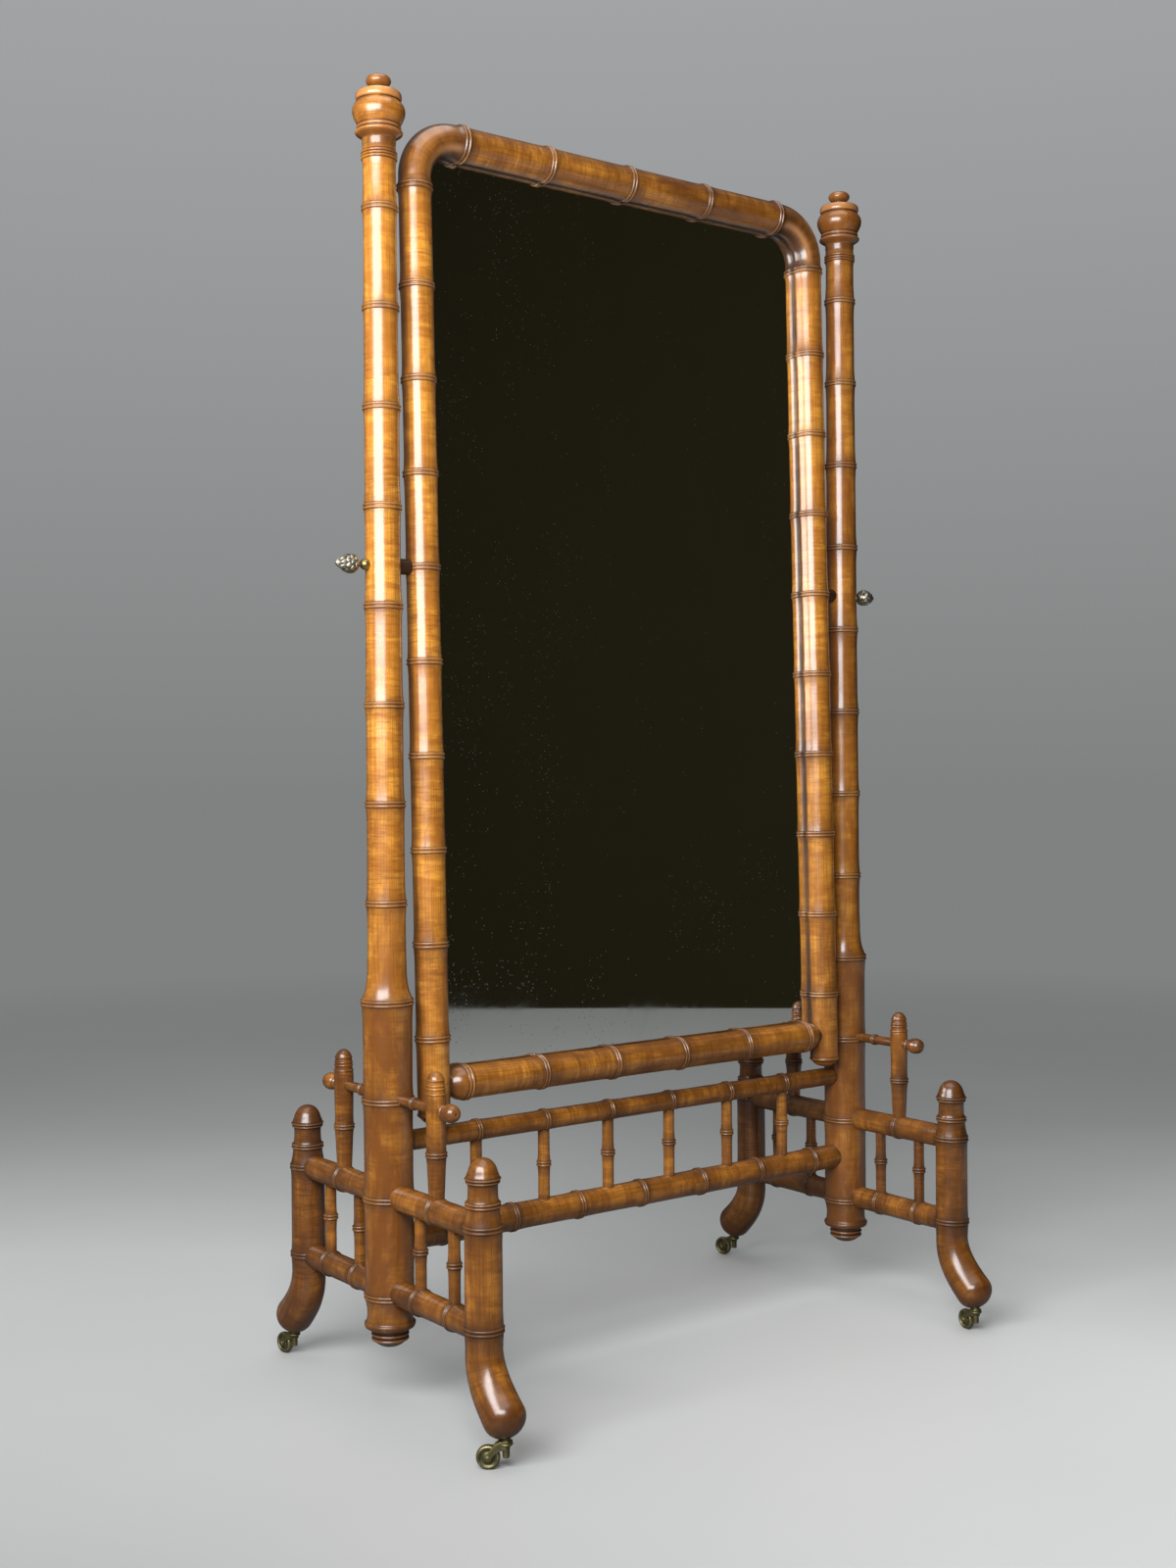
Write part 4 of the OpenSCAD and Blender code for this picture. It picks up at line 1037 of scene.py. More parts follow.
@dataclass
class Post(SubAssembly):
    """One of the two tall posts with its finial and drop."""

    side: Side
    top: float = 1754.0
    foot: float = 114.0
    base_ring: float = 158.0
    base_pitch: float = 135.5
    shaft_pitch: float = 137.0
    neck_beads: Vec3 = (1728.2, 1732.2, 1736.2)
    neck_lines: tuple[float, ...] = (1726.0, 1730.2, 1734.2, 1738.4)
    base_radius: float = 34.2
    columns: int = 72

    @property
    def bell(self) -> float:
        """Height of the ring where the thick base meets the shaft."""
        return self.base_ring + 3 * self.base_pitch

    def body(self) -> Outline:
        """The radius without rings: a foot turned in above the drop, a plain base, a bell
        26.8 + 11.4 exp(-h / 13.6) over the ring at h = 0, and a shaft that slims upwards.

        Returns:
            (height, radius) pairs.
        """
        foot = [(114, 34.4), (115.6, 34.6), (116.6, 35.4), (118.4, 35.8), (120.4, 35.3),
                (121.4, 34.2), (122.4, 32.9), (125, 32.2), (131, 31.4), (139, 31.2),
                (146, 32.0), (151, 32.8)]
        base = [(self.base_ring + 6, 33.4), (self.base_ring + 40, 33.9),
                (self.bell - 60, self.base_radius), (self.bell + 2.2, self.base_radius)]
        above = np.linspace(4.3, 60.0, 24)
        bell = [(self.bell + h, 26.8 + 11.4 * math.exp(-h / 13.6) - 1.2 * max(0.0, 1 - h / 28) ** 2)
                for h in above]
        shaft = [(self.bell + 75, 26.5), (self.neck_beads[1], 22.6), (1745.5, 22.7),
                 (1749, 23.3), (self.top, 23.5)]
        return foot + base + bell + shaft

    def rings(self) -> list[float]:
        """Heights of the double rings below the neck."""
        base = [self.base_ring + k * self.base_pitch for k in range(3)]
        return base + [self.bell + k * self.shaft_pitch for k in range(9)]

    def tone_line(self, z: np.ndarray) -> np.ndarray:
        """Browner and darker towards the base, and the right post darker as a whole, as painted shade.

        Args:
            z: heights of the rows.

        Returns:
            Tone from 0 to 1.
        """
        low = 0.80 * falling(z, self.bell + 25, 42.0)
        # painted shade: the whole right post is darker
        upper = 0.62 if self.side is Side.RIGHT else 0.02
        neck = 0.35 * fading(self.top - z, 30.0)
        return np.clip(np.maximum(low, upper) + neck + 0.12 * fading(z - self.foot, 40.0), 0, 1)

    def build(self) -> None:
        """Builds the post, its finial and its drop."""
        rings = self.rings()
        stick = Stick(f"post_{self.side.label}_turned", self.foot, self.top, self.body(), rings,
                      RingStyle(), upright(axis_x(self.side)), self.columns,
                      seed=3 if self.side is Side.LEFT else 4, end_soil=0.5)
        z = stations(self.foot, self.top, [*rings, *self.neck_beads, self.foot + 8], 7.0)
        fine = RingStyle(rise=2.5, bead=3.3, groove=-3.3, flare=0.9, flare_length=10.0)
        radius = stick.radius(z) + fine.swell(z, np.array(self.neck_beads))
        post = stick.surface(z, radius, self.neck_lines)
        tone = np.append(np.repeat(self.tone_line(z), self.columns), self.tone_line(z[[0, -1]]))
        post.data.attributes["tone"].data.foreach_set("value", tone.astype(np.float32))
        self.shop.dress(post, FINISHES.honey, "stand", f"post_{self.side.label}")
        self.finial()
        self.drop()

    def finial(self) -> None:
        """The urn-shaped finial: a flared collar, two thin rings, the urn, a disc and a button."""
        collar = [(0, 0), (22.6, 0), (23.2, 1.2), (24.6, 3.0), (28.2, 5.4), (32.0, 7.8),
                  (33.2, 9.4), (33.0, 11.2), (31.4, 12.6), (29.9, 13.4), (29.5, 14.6),
                  (30.6, 15.8), (31.0, 17.2), (30.3, 18.6), (29.2, 19.6)]
        urn = [(29.3, 20.4), (31.2, 23.4), (34.3, 29.4), (36.2, 34.6), (36.7, 39), (36.2, 43),
               (34.6, 47), (32.0, 50.4), (29.2, 52.9), (28.5, 54.0), (29.6, 54.5), (31.3, 55.3),
               (31.9, 57.4), (31.9, 60.8), (31.3, 63.6), (29.7, 65.5)]
        button = [(26.4, 66.8), (19, 67.7), (12.4, 68.5), (10.8, 69.8), (10.5, 72.4),
                  (12.0, 74.4), (15.3, 76.6), (17.2, 79.6), (17.5, 82), (16.6, 85),
                  (14.2, 87.6), (10, 89.2), (5, 89.9), (0, 90)]
        outline = smooth_outline(collar + urn + button, 2)
        # painted shade: the right finial darker all over, and the underside of the collar darker in the
        # first zone
        tone = 0.30 if self.side is Side.LEFT else 0.75
        zones = ((0.0, 7.0, 0.0, 0.75), (54.6, 68.5, 1.0, tone - 0.05), (69.5, 91.0, 0.0, 0.80))
        place = upright(axis_x(self.side), 0, self.top)
        piece = Turning(f"finial_{self.side.label}_turned", outline, place, 72, tone=tone, seed=9,
                        soil=0.95, worn=0.35, zones=zones).build()
        self.shop.dress(piece, FINISHES.honey, "stand", f"finial_{self.side.label}")

    def drop(self) -> None:
        """The ringed button under the post."""
        outline = smooth_outline([
            (0, -27.8), (7, -27.6), (12, -26.6), (17, -24.2), (20.6, -21), (23.6, -19.2),
            (24.2, -18.6), (25.6, -18), (26.4, -16.6), (25.6, -15), (24.4, -14.4), (24.2, -13.4),
            (24.4, -12.6), (25.8, -11.6), (26.6, -10), (25.8, -8.3), (24.4, -7.6), (24.8, -6.4),
            (25.8, -4.4), (25.9, -2), (26.0, 0.6), (0, 0.8),
        ], 2)
        place = upright(axis_x(self.side), 0, self.foot)
        piece = Turning(f"drop_{self.side.label}_turned", outline, place, tone=0.8, seed=11,
                        soil=1.0, worn=0.5).build()
        self.shop.dress(piece, FINISHES.brown, "stand", f"drop_{self.side.label}")


@dataclass
class EndFrame(SubAssembly):
    """The frame at one end of the stand, on one face of its post: a leg with its foot, two rails,
    two spindles, a cross post with its peg and ball."""

    side: Side
    face: Face
    leg_reach: float = 235.0
    leg_top: float = 387.5
    rail_low: float = 165.0
    rail_up: float = 296.5
    cross_reach: float = 124.0
    cross_top: float = 484.0
    peg_height: float = 432.8
    ball_reach: float = 162.0
    spindle_step: float = 42.0
    rail_radius: float = 17.5
    seat: float = 25.0

    def build(self) -> None:
        """Builds every piece of this end frame."""
        self.end = f"{self.face.label}_{self.side.label}"
        self.x = axis_x(self.side)
        self.sign = self.face.value
        self.seed = 20 + 3 * self.side.value + self.face.value
        self.leg()
        self.rails()
        self.cross_post()
        self.peg_and_ball()
        self.spindles()

    def leg(self) -> None:
        """The leg: circles carried down its centre line, which runs straight and then bends out
        along a cubic curve to the toe. The toe ends as half an ellipsoid.
        """
        bend_top, straight_r, toe_r, toe_cap, dome = 140.0, 24.6, 28.6, 25.0, 362
        rings = np.array([self.rail_low + 1.5, self.rail_up + 0.7])
        collars = np.array([327.5, 358.5])
        above = smooth_outline([
            (bend_top, straight_r), (200, 24.8), (270, 24.6), (300, 24.2), (305, 23.4),
            (311, 22.5), (318, 21.8), (323, 21.2), (325, 21.4), (331, 21.0), (334, 20.0),
            (345, 19.5), (353, 19.6), (356, 20.0), (361, 21.4), (364, 21.8), (368, 20.2),
            (374, 18.4), (379, 15.9), (383, 12.4), (385.8, 8.4), (387.2, 4.0), (387.5, 0.2),
        ], 3)
        z = stations(bend_top, self.leg_top - 0.02, [*rings, *collars])
        z = with_rows(z, above[above[:, 0] > dome, 0])[::-1]
        style = RingStyle(rise=2.4, flare=1.0, flare_length=22, shade=0.5, stain=0.7)
        small = RingStyle(rise=2.6, bead=3.3, groove=1.0, flare=0.5, flare_length=6, shade=0.5,
                          stain=0.45)
        radius = np.interp(z, *above.T) + style.swell(z, rings) + small.swell(z, collars)
        t = np.linspace(0, 1, 46)[1:]
        cubic = np.array([[0, bend_top], [0, 109], [19, 87], [44.5, 64.3]])
        bend = cubic_curve(t, cubic)
        bend_radius = straight_r + (toe_r - straight_r) * t**1.4 + 0.9 * np.sin(np.pi * t)
        cap = np.linspace(0, math.pi / 2, 22)[1:]
        heading = (cubic[3] - cubic[2]) / np.linalg.norm(cubic[3] - cubic[2])
        toe = cubic[3] + toe_cap * np.sin(cap)[:, None] * heading
        centre = np.vstack([np.stack([np.zeros_like(z), z], 1), bend, toe])
        radius = np.concatenate([radius, bend_radius, toe_r * np.maximum(np.cos(cap), 0.01)])
        tangent = np.gradient(centre, axis=0)
        tangent[len(z) + len(t):] = heading
        tangent /= np.linalg.norm(tangent, axis=1)[:, None]
        out = np.stack([-tangent[:, 1], tangent[:, 0]], 1)
        around = circle(64)
        across, forward = radius[:, None] * np.cos(around), radius[:, None] * np.sin(around)
        y = centre[:, :1] + forward * out[:, :1]
        height = centre[:, 1:] + forward * out[:, 1:]
        grid = np.stack([self.x + across, self.sign * (self.leg_reach + y), height], -1)
        grain = turned_grid(radius[:, None], run_length(centre), around) * MM + 0.41 * self.seed
        z = centre[:, 1]
        soil = np.maximum(style.soil(z, rings), small.soil(z, collars))
        worn = np.maximum(style.worn(z, rings), small.worn(z, collars))
        joints = hump(z, self.rail_up, 26) + hump(z, self.rail_low, 26)
        tone = 0.30 + 0.28 * joints + 0.46 * falling(z, 88, 16.0) + 0.25 * falling(z, 345, -12.0)
        tone = np.clip(tone, 0, 1)
        floats = spread_rows({"soil": soil, "worn": worn, "tone": tone}, len(around))
        # painted shade on the leg's inner side at the rail joints
        inner = np.clip(-forward / radius[:, None], 0, 1) ** 2
        floats["soil"] = np.maximum(floats["soil"], 0.55 * inner * joints[:, None])
        piece = mesh_from_grid(f"leg_{self.end}_turned", grid, floats, grain)
        self.shop.dress(piece, FINISHES.brown, "stand", f"leg_{self.end}")

    def rails(self) -> None:
        """The upper rail, ringed under the cross post, and the lower rail, ringed under each
        spindle.
        """
        low, high = self.seat, self.leg_reach - 15.0
        spindles = [self.cross_reach - self.spindle_step, self.cross_reach + self.spindle_step]
        style = brown_rings(2.0, 3.3, 1.1, 0.8, 18)
        for level, height, rings in (("upper", self.rail_up, [self.cross_reach]),
                                     ("lower", self.rail_low, spindles)):
            place = lying_y(self.x, 0, height, self.sign)
            piece = plain_stick(f"rail_{level}_{self.end}_turned", low, high, self.rail_radius,
                                rings, style, place, 52, tone=0.30, seed=self.seed + len(rings),
                                end_soil=0.6)
            self.shop.dress(piece, FINISHES.brown, "stand", f"rail_{level}_{self.end}")

    def cross_post(self) -> None:
        """The short post on the upper rail: slim foot, ring halfway, swelling for the peg, dome."""
        foot = self.rail_up + 11
        ring, neck, dome = 372.7, 463.0, 470
        line = smooth_outline([
            (foot, 10.5), (313, 10.5), (328, 11.4), (350, 12.3), (366, 13.0), (380, 13.0),
            (400, 13.3), (418, 13.6), (427, 13.7), (436, 14.0), (449, 14.0), (452, 13.2),
            (456, 12.6), (459, 12.2), (465, 12.0), (467, 12.1), (471, 11.4), (474, 11.4),
            (477, 10.3), (480, 8.4), (482.4, 5.6), (483.6, 3.0), (self.cross_top, 0.1),
        ], 3)
        z = stations(foot, self.cross_top, [ring, neck, 452, 429, 478], 5.0)
        z = with_rows(z, line[line[:, 0] > dome, 0])
        place = upright(self.x, self.sign * self.cross_reach)
        stick = Stick(f"cross_post_{self.end}_turned", foot, self.cross_top, line, [ring],
                      brown_rings(2.1, 3.2, 1.0, 0.7, 16), place, 48, tone=0.42,
                      seed=self.seed + 5, end_soil=0.2)
        fine = RingStyle(rise=1.3, bead=2.8, groove=4.4, flare=0.2, flare_length=5)
        beads = fine.swell(z, np.array([457.5])) + fine.swell(z, np.array([469.0])) * 0.8
        piece = stick.surface(z, stick.radius(z) + beads)
        self.shop.dress(piece, FINISHES.brown, "stand", f"cross_post_{self.end}")

    def peg_and_ball(self) -> None:
        """The peg between post and cross post, and the ball outside it."""
        place = lying_y(self.x, 0, self.peg_height, self.sign)
        inner, peg_radius = self.cross_reach - 9, 7.0
        peg = plain_stick(f"peg_{self.end}_turned", self.seat, inner, peg_radius,
                          [(self.seat + inner) / 2], brown_rings(1.9, 3.0, 0.9, 0.6, 12), place,
                          40, tone=0.45, seed=self.seed + 7, end_soil=0.5, coarse=5.0)
        near, far = self.cross_reach + 9.0, self.ball_reach + 12.2
        outline = smooth_outline([
            (0, near), (7.0, near), (7.0, near + 8), (8.6, near + 9.2), (8.9, near + 10.6),
            (8.5, near + 12), (7.2, near + 13), (7.4, near + 14.4), (9.6, near + 16.6),
            (11.6, near + 20.6), (12.3, near + 25), (12.2, near + 30), (11.2, near + 34.4),
            (8.8, near + 38), (5.4, near + 40.2), (2.2, far - 0.7), (1.6, far - 1.3),
            (0, far - 1.4),
        ], 2)
        ball = Turning(f"ball_{self.end}_turned", outline, place, 44, tone=0.55,
                       seed=self.seed + 9, soil=0.9, worn=0.4).build()
        last = self.side is Side.RIGHT and self.face is Face.BACK
        self.shop.dress(peg, FINISHES.brown, "stand", *(["cross_pegs"] if last else []))
        self.shop.dress(ball, FINISHES.brown, "stand", *(["cross_balls"] if last else []))

    def spindles(self) -> None:
        """The two slim spindles between the rails."""
        low, high = self.rail_low + 9, self.rail_up - 9
        style = brown_rings(2.8, 3.4, 1.1, 0.9, 16)
        steps = (-self.spindle_step, self.spindle_step)
        for number, step in enumerate(steps):
            place = upright(self.x, self.sign * (self.cross_reach + step))
            spindle = Stick(f"end_spindle_{self.end}_{number}", low, high,
                            [(low, 8.1), (high, 8.2)], [(low + high) / 2 + 3], style, place, 40,
                            tone=0.30, seed=self.seed + 11 + number, end_soil=0.6,
                            coarse=5.0).build()
            last = self.face is Face.BACK and number == len(steps) - 1
            nodes = [f"end_spindles_{self.side.label}"] if last else []
            self.shop.dress(spindle, FINISHES.brown, "stand", *nodes)


@dataclass
class Stretchers(SubAssembly):
    """The two stretchers between the posts and the spindles between them."""

    upper_radius: float = 14.5
    lower_radius: float = 19.2
    spindle_radius: float = 8.6
    pitch: float = 119.6
    count: int = 6
    seat: float = 25.0

    def build(self) -> None:
        """Builds both stretchers and every spindle."""
        ring_rise = 2.4
        upper = float(solid_box("stretcher_upper")[1][2]) - self.upper_radius - ring_rise
        lower_low, lower_high = solid_box("stretcher_lower")
        lower = float(lower_low[2] + lower_high[2]) / 2
        reach = axis_x(Side.RIGHT) - self.seat
        places = [(k - (self.count - 1) / 2) * self.pitch for k in range(self.count)]
        between = [(k - self.count / 2) * self.pitch for k in range(self.count + 1)]
        style = brown_rings(2.3, 3.4, 1.1, 0.9, 22)
        for name, height, radius, rings, seed in (
            ("stretcher_upper", upper, self.upper_radius, places, 51),
            ("stretcher_lower", lower, self.lower_radius, between, 52),
        ):
            piece = plain_stick(f"{name}_turned", -reach, reach, radius, rings, style,
                                lying_x(0, 0, height), 52, tone=0.16, seed=seed, end_soil=0.7)
            self.shop.dress(piece, FINISHES.brown, "stand", name)
        low, high = lower + self.lower_radius - 9, upper - self.upper_radius + 8
        slim = RingStyle(rise=2.6, bead=3.5, groove=1.1, flare=0.9, flare_length=18, shade=0.55)
        for number, x in enumerate(places):
            piece = plain_stick(f"stretcher_spindle_{number}", low, high, self.spindle_radius,
                                [(low + high) / 2 + 1.5], slim, upright(x), 40, tone=0.10,
                                seed=60 + number, end_soil=0.7, coarse=5.0)
            nodes = ["stretcher_spindles"] if number == self.count - 1 else []
            self.shop.dress(piece, FINISHES.amber, "stand", *nodes)


@dataclass
class FrameBar:
    """One bar of the tilting frame: a section carried along a path, cut at the back for the glass
    and the backboard.

    The section is polar. At angle v from the inward direction towards the back its radius is the
    least of the turned radius and of the two steps of the rebate, where a step with edge e and
    face f leaves max(e / cos v, f / sin v) in the inward back quarter. The rebate's faces are
    darkened as painted shade. A streak (angle, width, highlight, darkening) runs along the bar at
    an angle, painting highlight and shade by its last two values, and a dark one runs where the
    bar meets the glass.
    """

    name: str
    path: np.ndarray
    inward: np.ndarray
    radius: np.ndarray
    rebated: np.ndarray
    soil: np.ndarray
    worn: np.ndarray
    tone: np.ndarray
    place: Placement
    seed: int
    columns: int = 64
    steps: tuple[tuple[float, float], ...] = ((12.0, 8.5), (4.0, 12.85))
    streaks: tuple[Streak, ...] = ()
    glass_line: Streak = (0.28, 0.17, 0.0, 1.0)

    def corners(self, radius: np.ndarray) -> np.ndarray:
        """The angles of the rebate's corners, between 0 and a whole turn.

        Args:
            radius: turned radius of each row.

        Returns:
            Seven angles for each row.
        """
        (edge, face), (inner_edge, inner_face) = self.steps
        whole = np.ones_like(radius)
        return np.stack([
            0 * whole,
            np.arcsin(np.minimum(1.0, face / radius)),
            math.atan2(face, edge) * whole,
            math.atan2(inner_face, edge) * whole,
            math.atan2(inner_face, inner_edge) * whole,
            np.arccos(np.minimum(1.0, inner_edge / radius)),
            TURN * whole,
        ], 1)

    def angles(self) -> np.ndarray:
        """Evenly spread angles and one at each corner of the rebate, and in each row the angles
        between two corners stretched so that the corners lie where that row's radius puts them.

        Returns:
            An angle per row and column.
        """
        usual = self.corners(np.array([np.median(self.radius)]))[0]
        near = np.array([a + shift for a in usual[1:-1] for shift in (-0.004, 0.004)])
        even = circle(self.columns)
        even = even[np.abs(even[:, None] - near[None, :]).min(1) > 0.01]
        base = np.sort(np.concatenate([even, near]))
        own = self.corners(self.radius)
        spans = np.clip(np.searchsorted(usual, base, side="right") - 1, 0, len(usual) - 2)
        share = (base - usual[spans]) / (usual[spans + 1] - usual[spans])
        return own[:, spans] + share * (own[:, spans + 1] - own[:, spans])

    def build(self) -> bpy.types.Object:
        """Point (u, v) is path(u) + r (cos v inward(u) + sin v back).

        Returns:
            The bar as an object.
        """
        v = self.angles()
        cos, sin = np.cos(v), np.sin(v)
        tiny = 1e-6
        quarter = (cos > tiny) & (sin > tiny)
        left = np.full(v.shape, np.inf)
        for edge, face in self.steps:
            limit = np.maximum(edge / np.maximum(cos, tiny), face / np.maximum(sin, tiny))
            left = np.where(quarter, np.minimum(left, limit), left)
        full = np.broadcast_to(self.radius[:, None], v.shape)
        cut = np.minimum(full, left)
        r = np.where(self.rebated[:, None], cut, full)
        back = np.array([0.0, 1.0, 0.0])
        grid = self.path[:, None, :] + r[..., None] * (
            cos[..., None] * self.inward[:, None, :] + sin[..., None] * back
        )
        along = run_length(self.path)
        grain = turned_grid(r, along, v) * MM + 0.37 * self.seed
        rows = {"soil": self.soil, "worn": self.worn, "tone": self.tone}
        floats = spread_rows(rows, r.shape[1])
        # painted shade on the faces of the rebate
        rebate_shade = self.rebated[:, None] & (cut < full - 0.2)
        floats["soil"] = np.where(rebate_shade, np.maximum(floats["soil"], 0.75), floats["soil"])
        fade = np.clip(np.sin(math.pi * along / along[-1]) * 3, 0, 1)[:, None]
        # painted highlight and painted shade of the streaks along the bar, and the dark line at the
        # glass
        for angle, width, painted_highlight, darkening in (*self.streaks, self.glass_line):
            line = hump(v, angle, width)
            floats["worn"] = np.maximum(floats["worn"], painted_highlight * fade * line)
            floats["tone"] = floats["tone"] * (1 - painted_highlight * fade * line)
            floats["soil"] = np.maximum(floats["soil"], darkening * line)
        return mesh_from_grid(self.name, self.place.apply(grid), floats, grain, 30.0)


@dataclass
class TiltingFrame(SubAssembly):
    """The frame that holds the glass: two stiles, two elbows, a top and a bottom rail."""

    tilt: float = 1.27
    stile_radius: float = 23.3
    top_radius: float = 24.8
    bottom_radius: float = 23.5
    up: float = 611.5
    down: float = 727.0
    tail: float = 53.0
    pitch: float = 132.0
    top_pitch: float = 152.0
    bend: float = 62.0
    elbow_end: float = 14.5
    rebate_edge: float = 12.0
    joint_rise: float = 3.0

    def placed(self) -> Placement:
        """The frame's own axes: origin on the pivot, leaning back by the tilt.

        Returns:
            Where the frame is at rest.
        """
        a = math.radians(self.tilt)
        pivot = joint_place("mirror_tilt")
        y_axis = (0.0, math.cos(a), -math.sin(a))
        z_axis = (0.0, math.sin(a), math.cos(a))
        return Placement((0.0, 0.0, float(pivot[2])), (1.0, 0.0, 0.0), y_axis, z_axis)

    def build(self) -> None:
        """Builds the six bars and dresses the glass, the back and the small inner pieces."""
        ring_rise = 2.4
        self.place = self.placed()
        self.stile_x = float(solid_box("frame_stile_right")[1][0]) - self.stile_radius - ring_rise
        for side in Side:
            self.stile(side)
            self.elbow(side)
        self.top_rail()
        self.bottom_rail()
        for node, finish in (
            ("mirror_glass", FINISHES.plate),
            ("backboard", FINISHES.board),
            ("backboard_screws", FINISHES.brass),
            ("frame_dowels", FINISHES.dowel),
            ("pivot_bushes", FINISHES.brass),
        ):
            self.shop.keep(node, finish)

    def joint_collar(self, d: np.ndarray, rise: float) -> np.ndarray:
        """The pale raised double bead of an elbow joint.

        Args:
            d: distance of each row from the joint line.
            rise: how far the beads stand out.

        Returns:
            What the beads add to the radius of each row.
        """
        bead = np.sqrt(np.clip(1 - ((np.abs(d) - 2.9) / 2.1) ** 2, 0, None))
        slope = np.clip(1 - np.clip(np.abs(d) - 5.0, 0, None) / 10.0, 0, 1) ** 2
        return np.maximum(rise * bead, 0.45 * rise * slope)

    def joint_soil(self, d: np.ndarray) -> np.ndarray:
        """Darkening at an elbow joint: the dark joint line, painted shade at the bead feet and a soft
        dark band about them.
        """
        line, feet = 0.9 * hump(d, 0, 0.6), 0.9 * hump(np.abs(d), 5.4, 0.9)
        return np.maximum.reduce([line, feet, 0.4 * fading(np.abs(d) - 5, 9)])

    def bar(self, node: str, finish: Finish, path: np.ndarray, inward: Vec3 | np.ndarray,
            *rows: np.ndarray, seed: int, **more: tuple) -> None:
        """Builds one bar of the frame and dresses it.

        Args:
            node: the solid that it stands for.
            finish: its finish.
            path: its centre line.
            inward: the direction towards the glass, one for all rows or one for each.
            rows: per row its radius, whether it is cut for the glass, soil, wear and tone.
            seed: where its grain is cut from.
            more: its streaks.
        """
        radius, rebated, soil, worn, tone = rows
        inward = np.broadcast_to(np.array(inward), path.shape)
        made = FrameBar(f"{node}_turned", path, inward, radius, rebated, soil, worn, tone,
                        self.place, seed, **more).build()
        self.shop.dress(made, finish, "mirror", node)

    def stile(self, side: Side) -> None:
        """A stile from its domed lower end to the elbow joint. The rebate starts above the
        bottom rail's own rebate edge.

        Args:
            side: which stile.
        """
        joint = self.up - self.bend - self.elbow_end
        end = -self.down - self.tail
        rings = np.array([k * self.pitch for k in range(-5, 4)])
        cut = self.rebate_edge - self.down
        s = stations(end, joint, [*rings, end + 8, joint, cut])
        tail = smooth_outline([
            (end, 0.2), (end + 0.5, 6), (end + 2, 11.5), (end + 4.4, 15.6), (end + 7, 18.3),
            (end + 9.4, 20.2), (end + 10.4, 21.4), (end + 11.4, 23.4), (end + 13.2, 24.2),
            (end + 15, 23.6), (end + 15.8, 22.6), (end + 17.5, 22.9), (end + 22, 23.2),
            (joint, self.stile_radius),
        ], 3)
        s = np.sort(np.concatenate([s, [cut - 0.05, cut + 0.05]]))
        s = with_rows(s, tail[tail[:, 0] < end + 24, 0])
        style = RingStyle(rise=2.6, flare=1.0, flare_length=24)
        d = s - joint
        rise = np.maximum(style.swell(s, rings), self.joint_collar(d, self.joint_rise))
        thin_line = hump(s, end + 49, 0.7)
        radius = np.interp(s, *tail.T) + rise - 0.5 * thin_line
        # painted shade in the thin groove and in the creases of the domed end
        lines = np.maximum.reduce([thin_line, hump(s, end + 10, 1.2), hump(s, end + 16.4, 1.0)])
        soil = np.maximum.reduce([style.soil(s, rings), self.joint_soil(d), 0.8 * lines])
        tone = 0.04 + 0.5 * falling(s, -self.down - 10, 14) + 0.4 * fading(np.abs(d), 30)
        tone = np.clip(tone + 0.2 * falling(s, -330, 70), 0, 1)
        path = np.stack([np.full_like(s, side.value * self.stile_x), np.zeros_like(s), s], 1)
        # the streak on the outer side is a painted shadow cast by the post
        self.bar(f"frame_stile_{side.label}", FINISHES.honey, path, (-side.value, 0.0, 0.0),
                 radius, s > cut, soil, style.worn(s, rings), tone, seed=5 + side.value,
                 streaks=((math.pi, 0.42, 0.0, 0.7),))

    def elbow(self, side: Side) -> None:
        """An elbow: straight up from the stile joint, a quarter turn of radius bend, and straight
        in to the top rail's joint. Its radius goes evenly from the stile's to the top rail's.

        Args:
            side: which elbow.
        """
        corner_x, corner_s = self.stile_x - self.bend, self.up - self.bend
        quarter = self.bend * math.pi / 2
        total = quarter + 2 * self.elbow_end
        u = stations(0, total, [0, total], 3.0, 0.45, 8)
        turn = np.clip((u - self.elbow_end) / self.bend, 0, math.pi / 2)
        rise = np.minimum(u, self.elbow_end) - self.elbow_end
        run = np.clip(u - self.elbow_end - quarter, 0, None)
        x = corner_x + self.bend * np.cos(turn) - run
        s = corner_s + self.bend * np.sin(turn) + rise
        path = np.stack([side.value * x, np.zeros_like(x), s], 1)
        inward = np.stack([-side.value * np.cos(turn), np.zeros_like(x), -np.sin(turn)], 1)
        share = u / total
        plain = self.stile_radius * (1 - share) + self.top_radius * share - 0.3
        collars = self.joint_collar(u, self.joint_rise), self.joint_collar(total - u, self.joint_rise)
        radius = plain + collars[0] + collars[1]
        soil = np.maximum(self.joint_soil(u), self.joint_soil(total - u))
        worn = 0.9 * hump(np.minimum(u, total - u), 2.9, 1.4)
        # painted shade: the right elbow is darker all over
        tone = (0.30 if side is Side.LEFT else 0.62) + 0.12 * np.sin(math.pi * share)
        # streaks: painted highlights on the front towards the inside and the outside, painted shade
        # along the inner and outer sides
        front = 1.5 * math.pi
        streaks = ((front + 0.62, 0.24, 1.0, 0.0), (front - 0.5, 0.40, 0.5, 0.0),
                   (front + 1.35, 0.40, 0.0, 0.75), (front - 1.45, 0.45, 0.0, 0.6))
        self.bar(f"frame_elbow_{side.label}", FINISHES.dark, path, inward, radius,
                 np.ones(len(u), bool), soil, worn, tone, seed=13 + side.value, streaks=streaks)

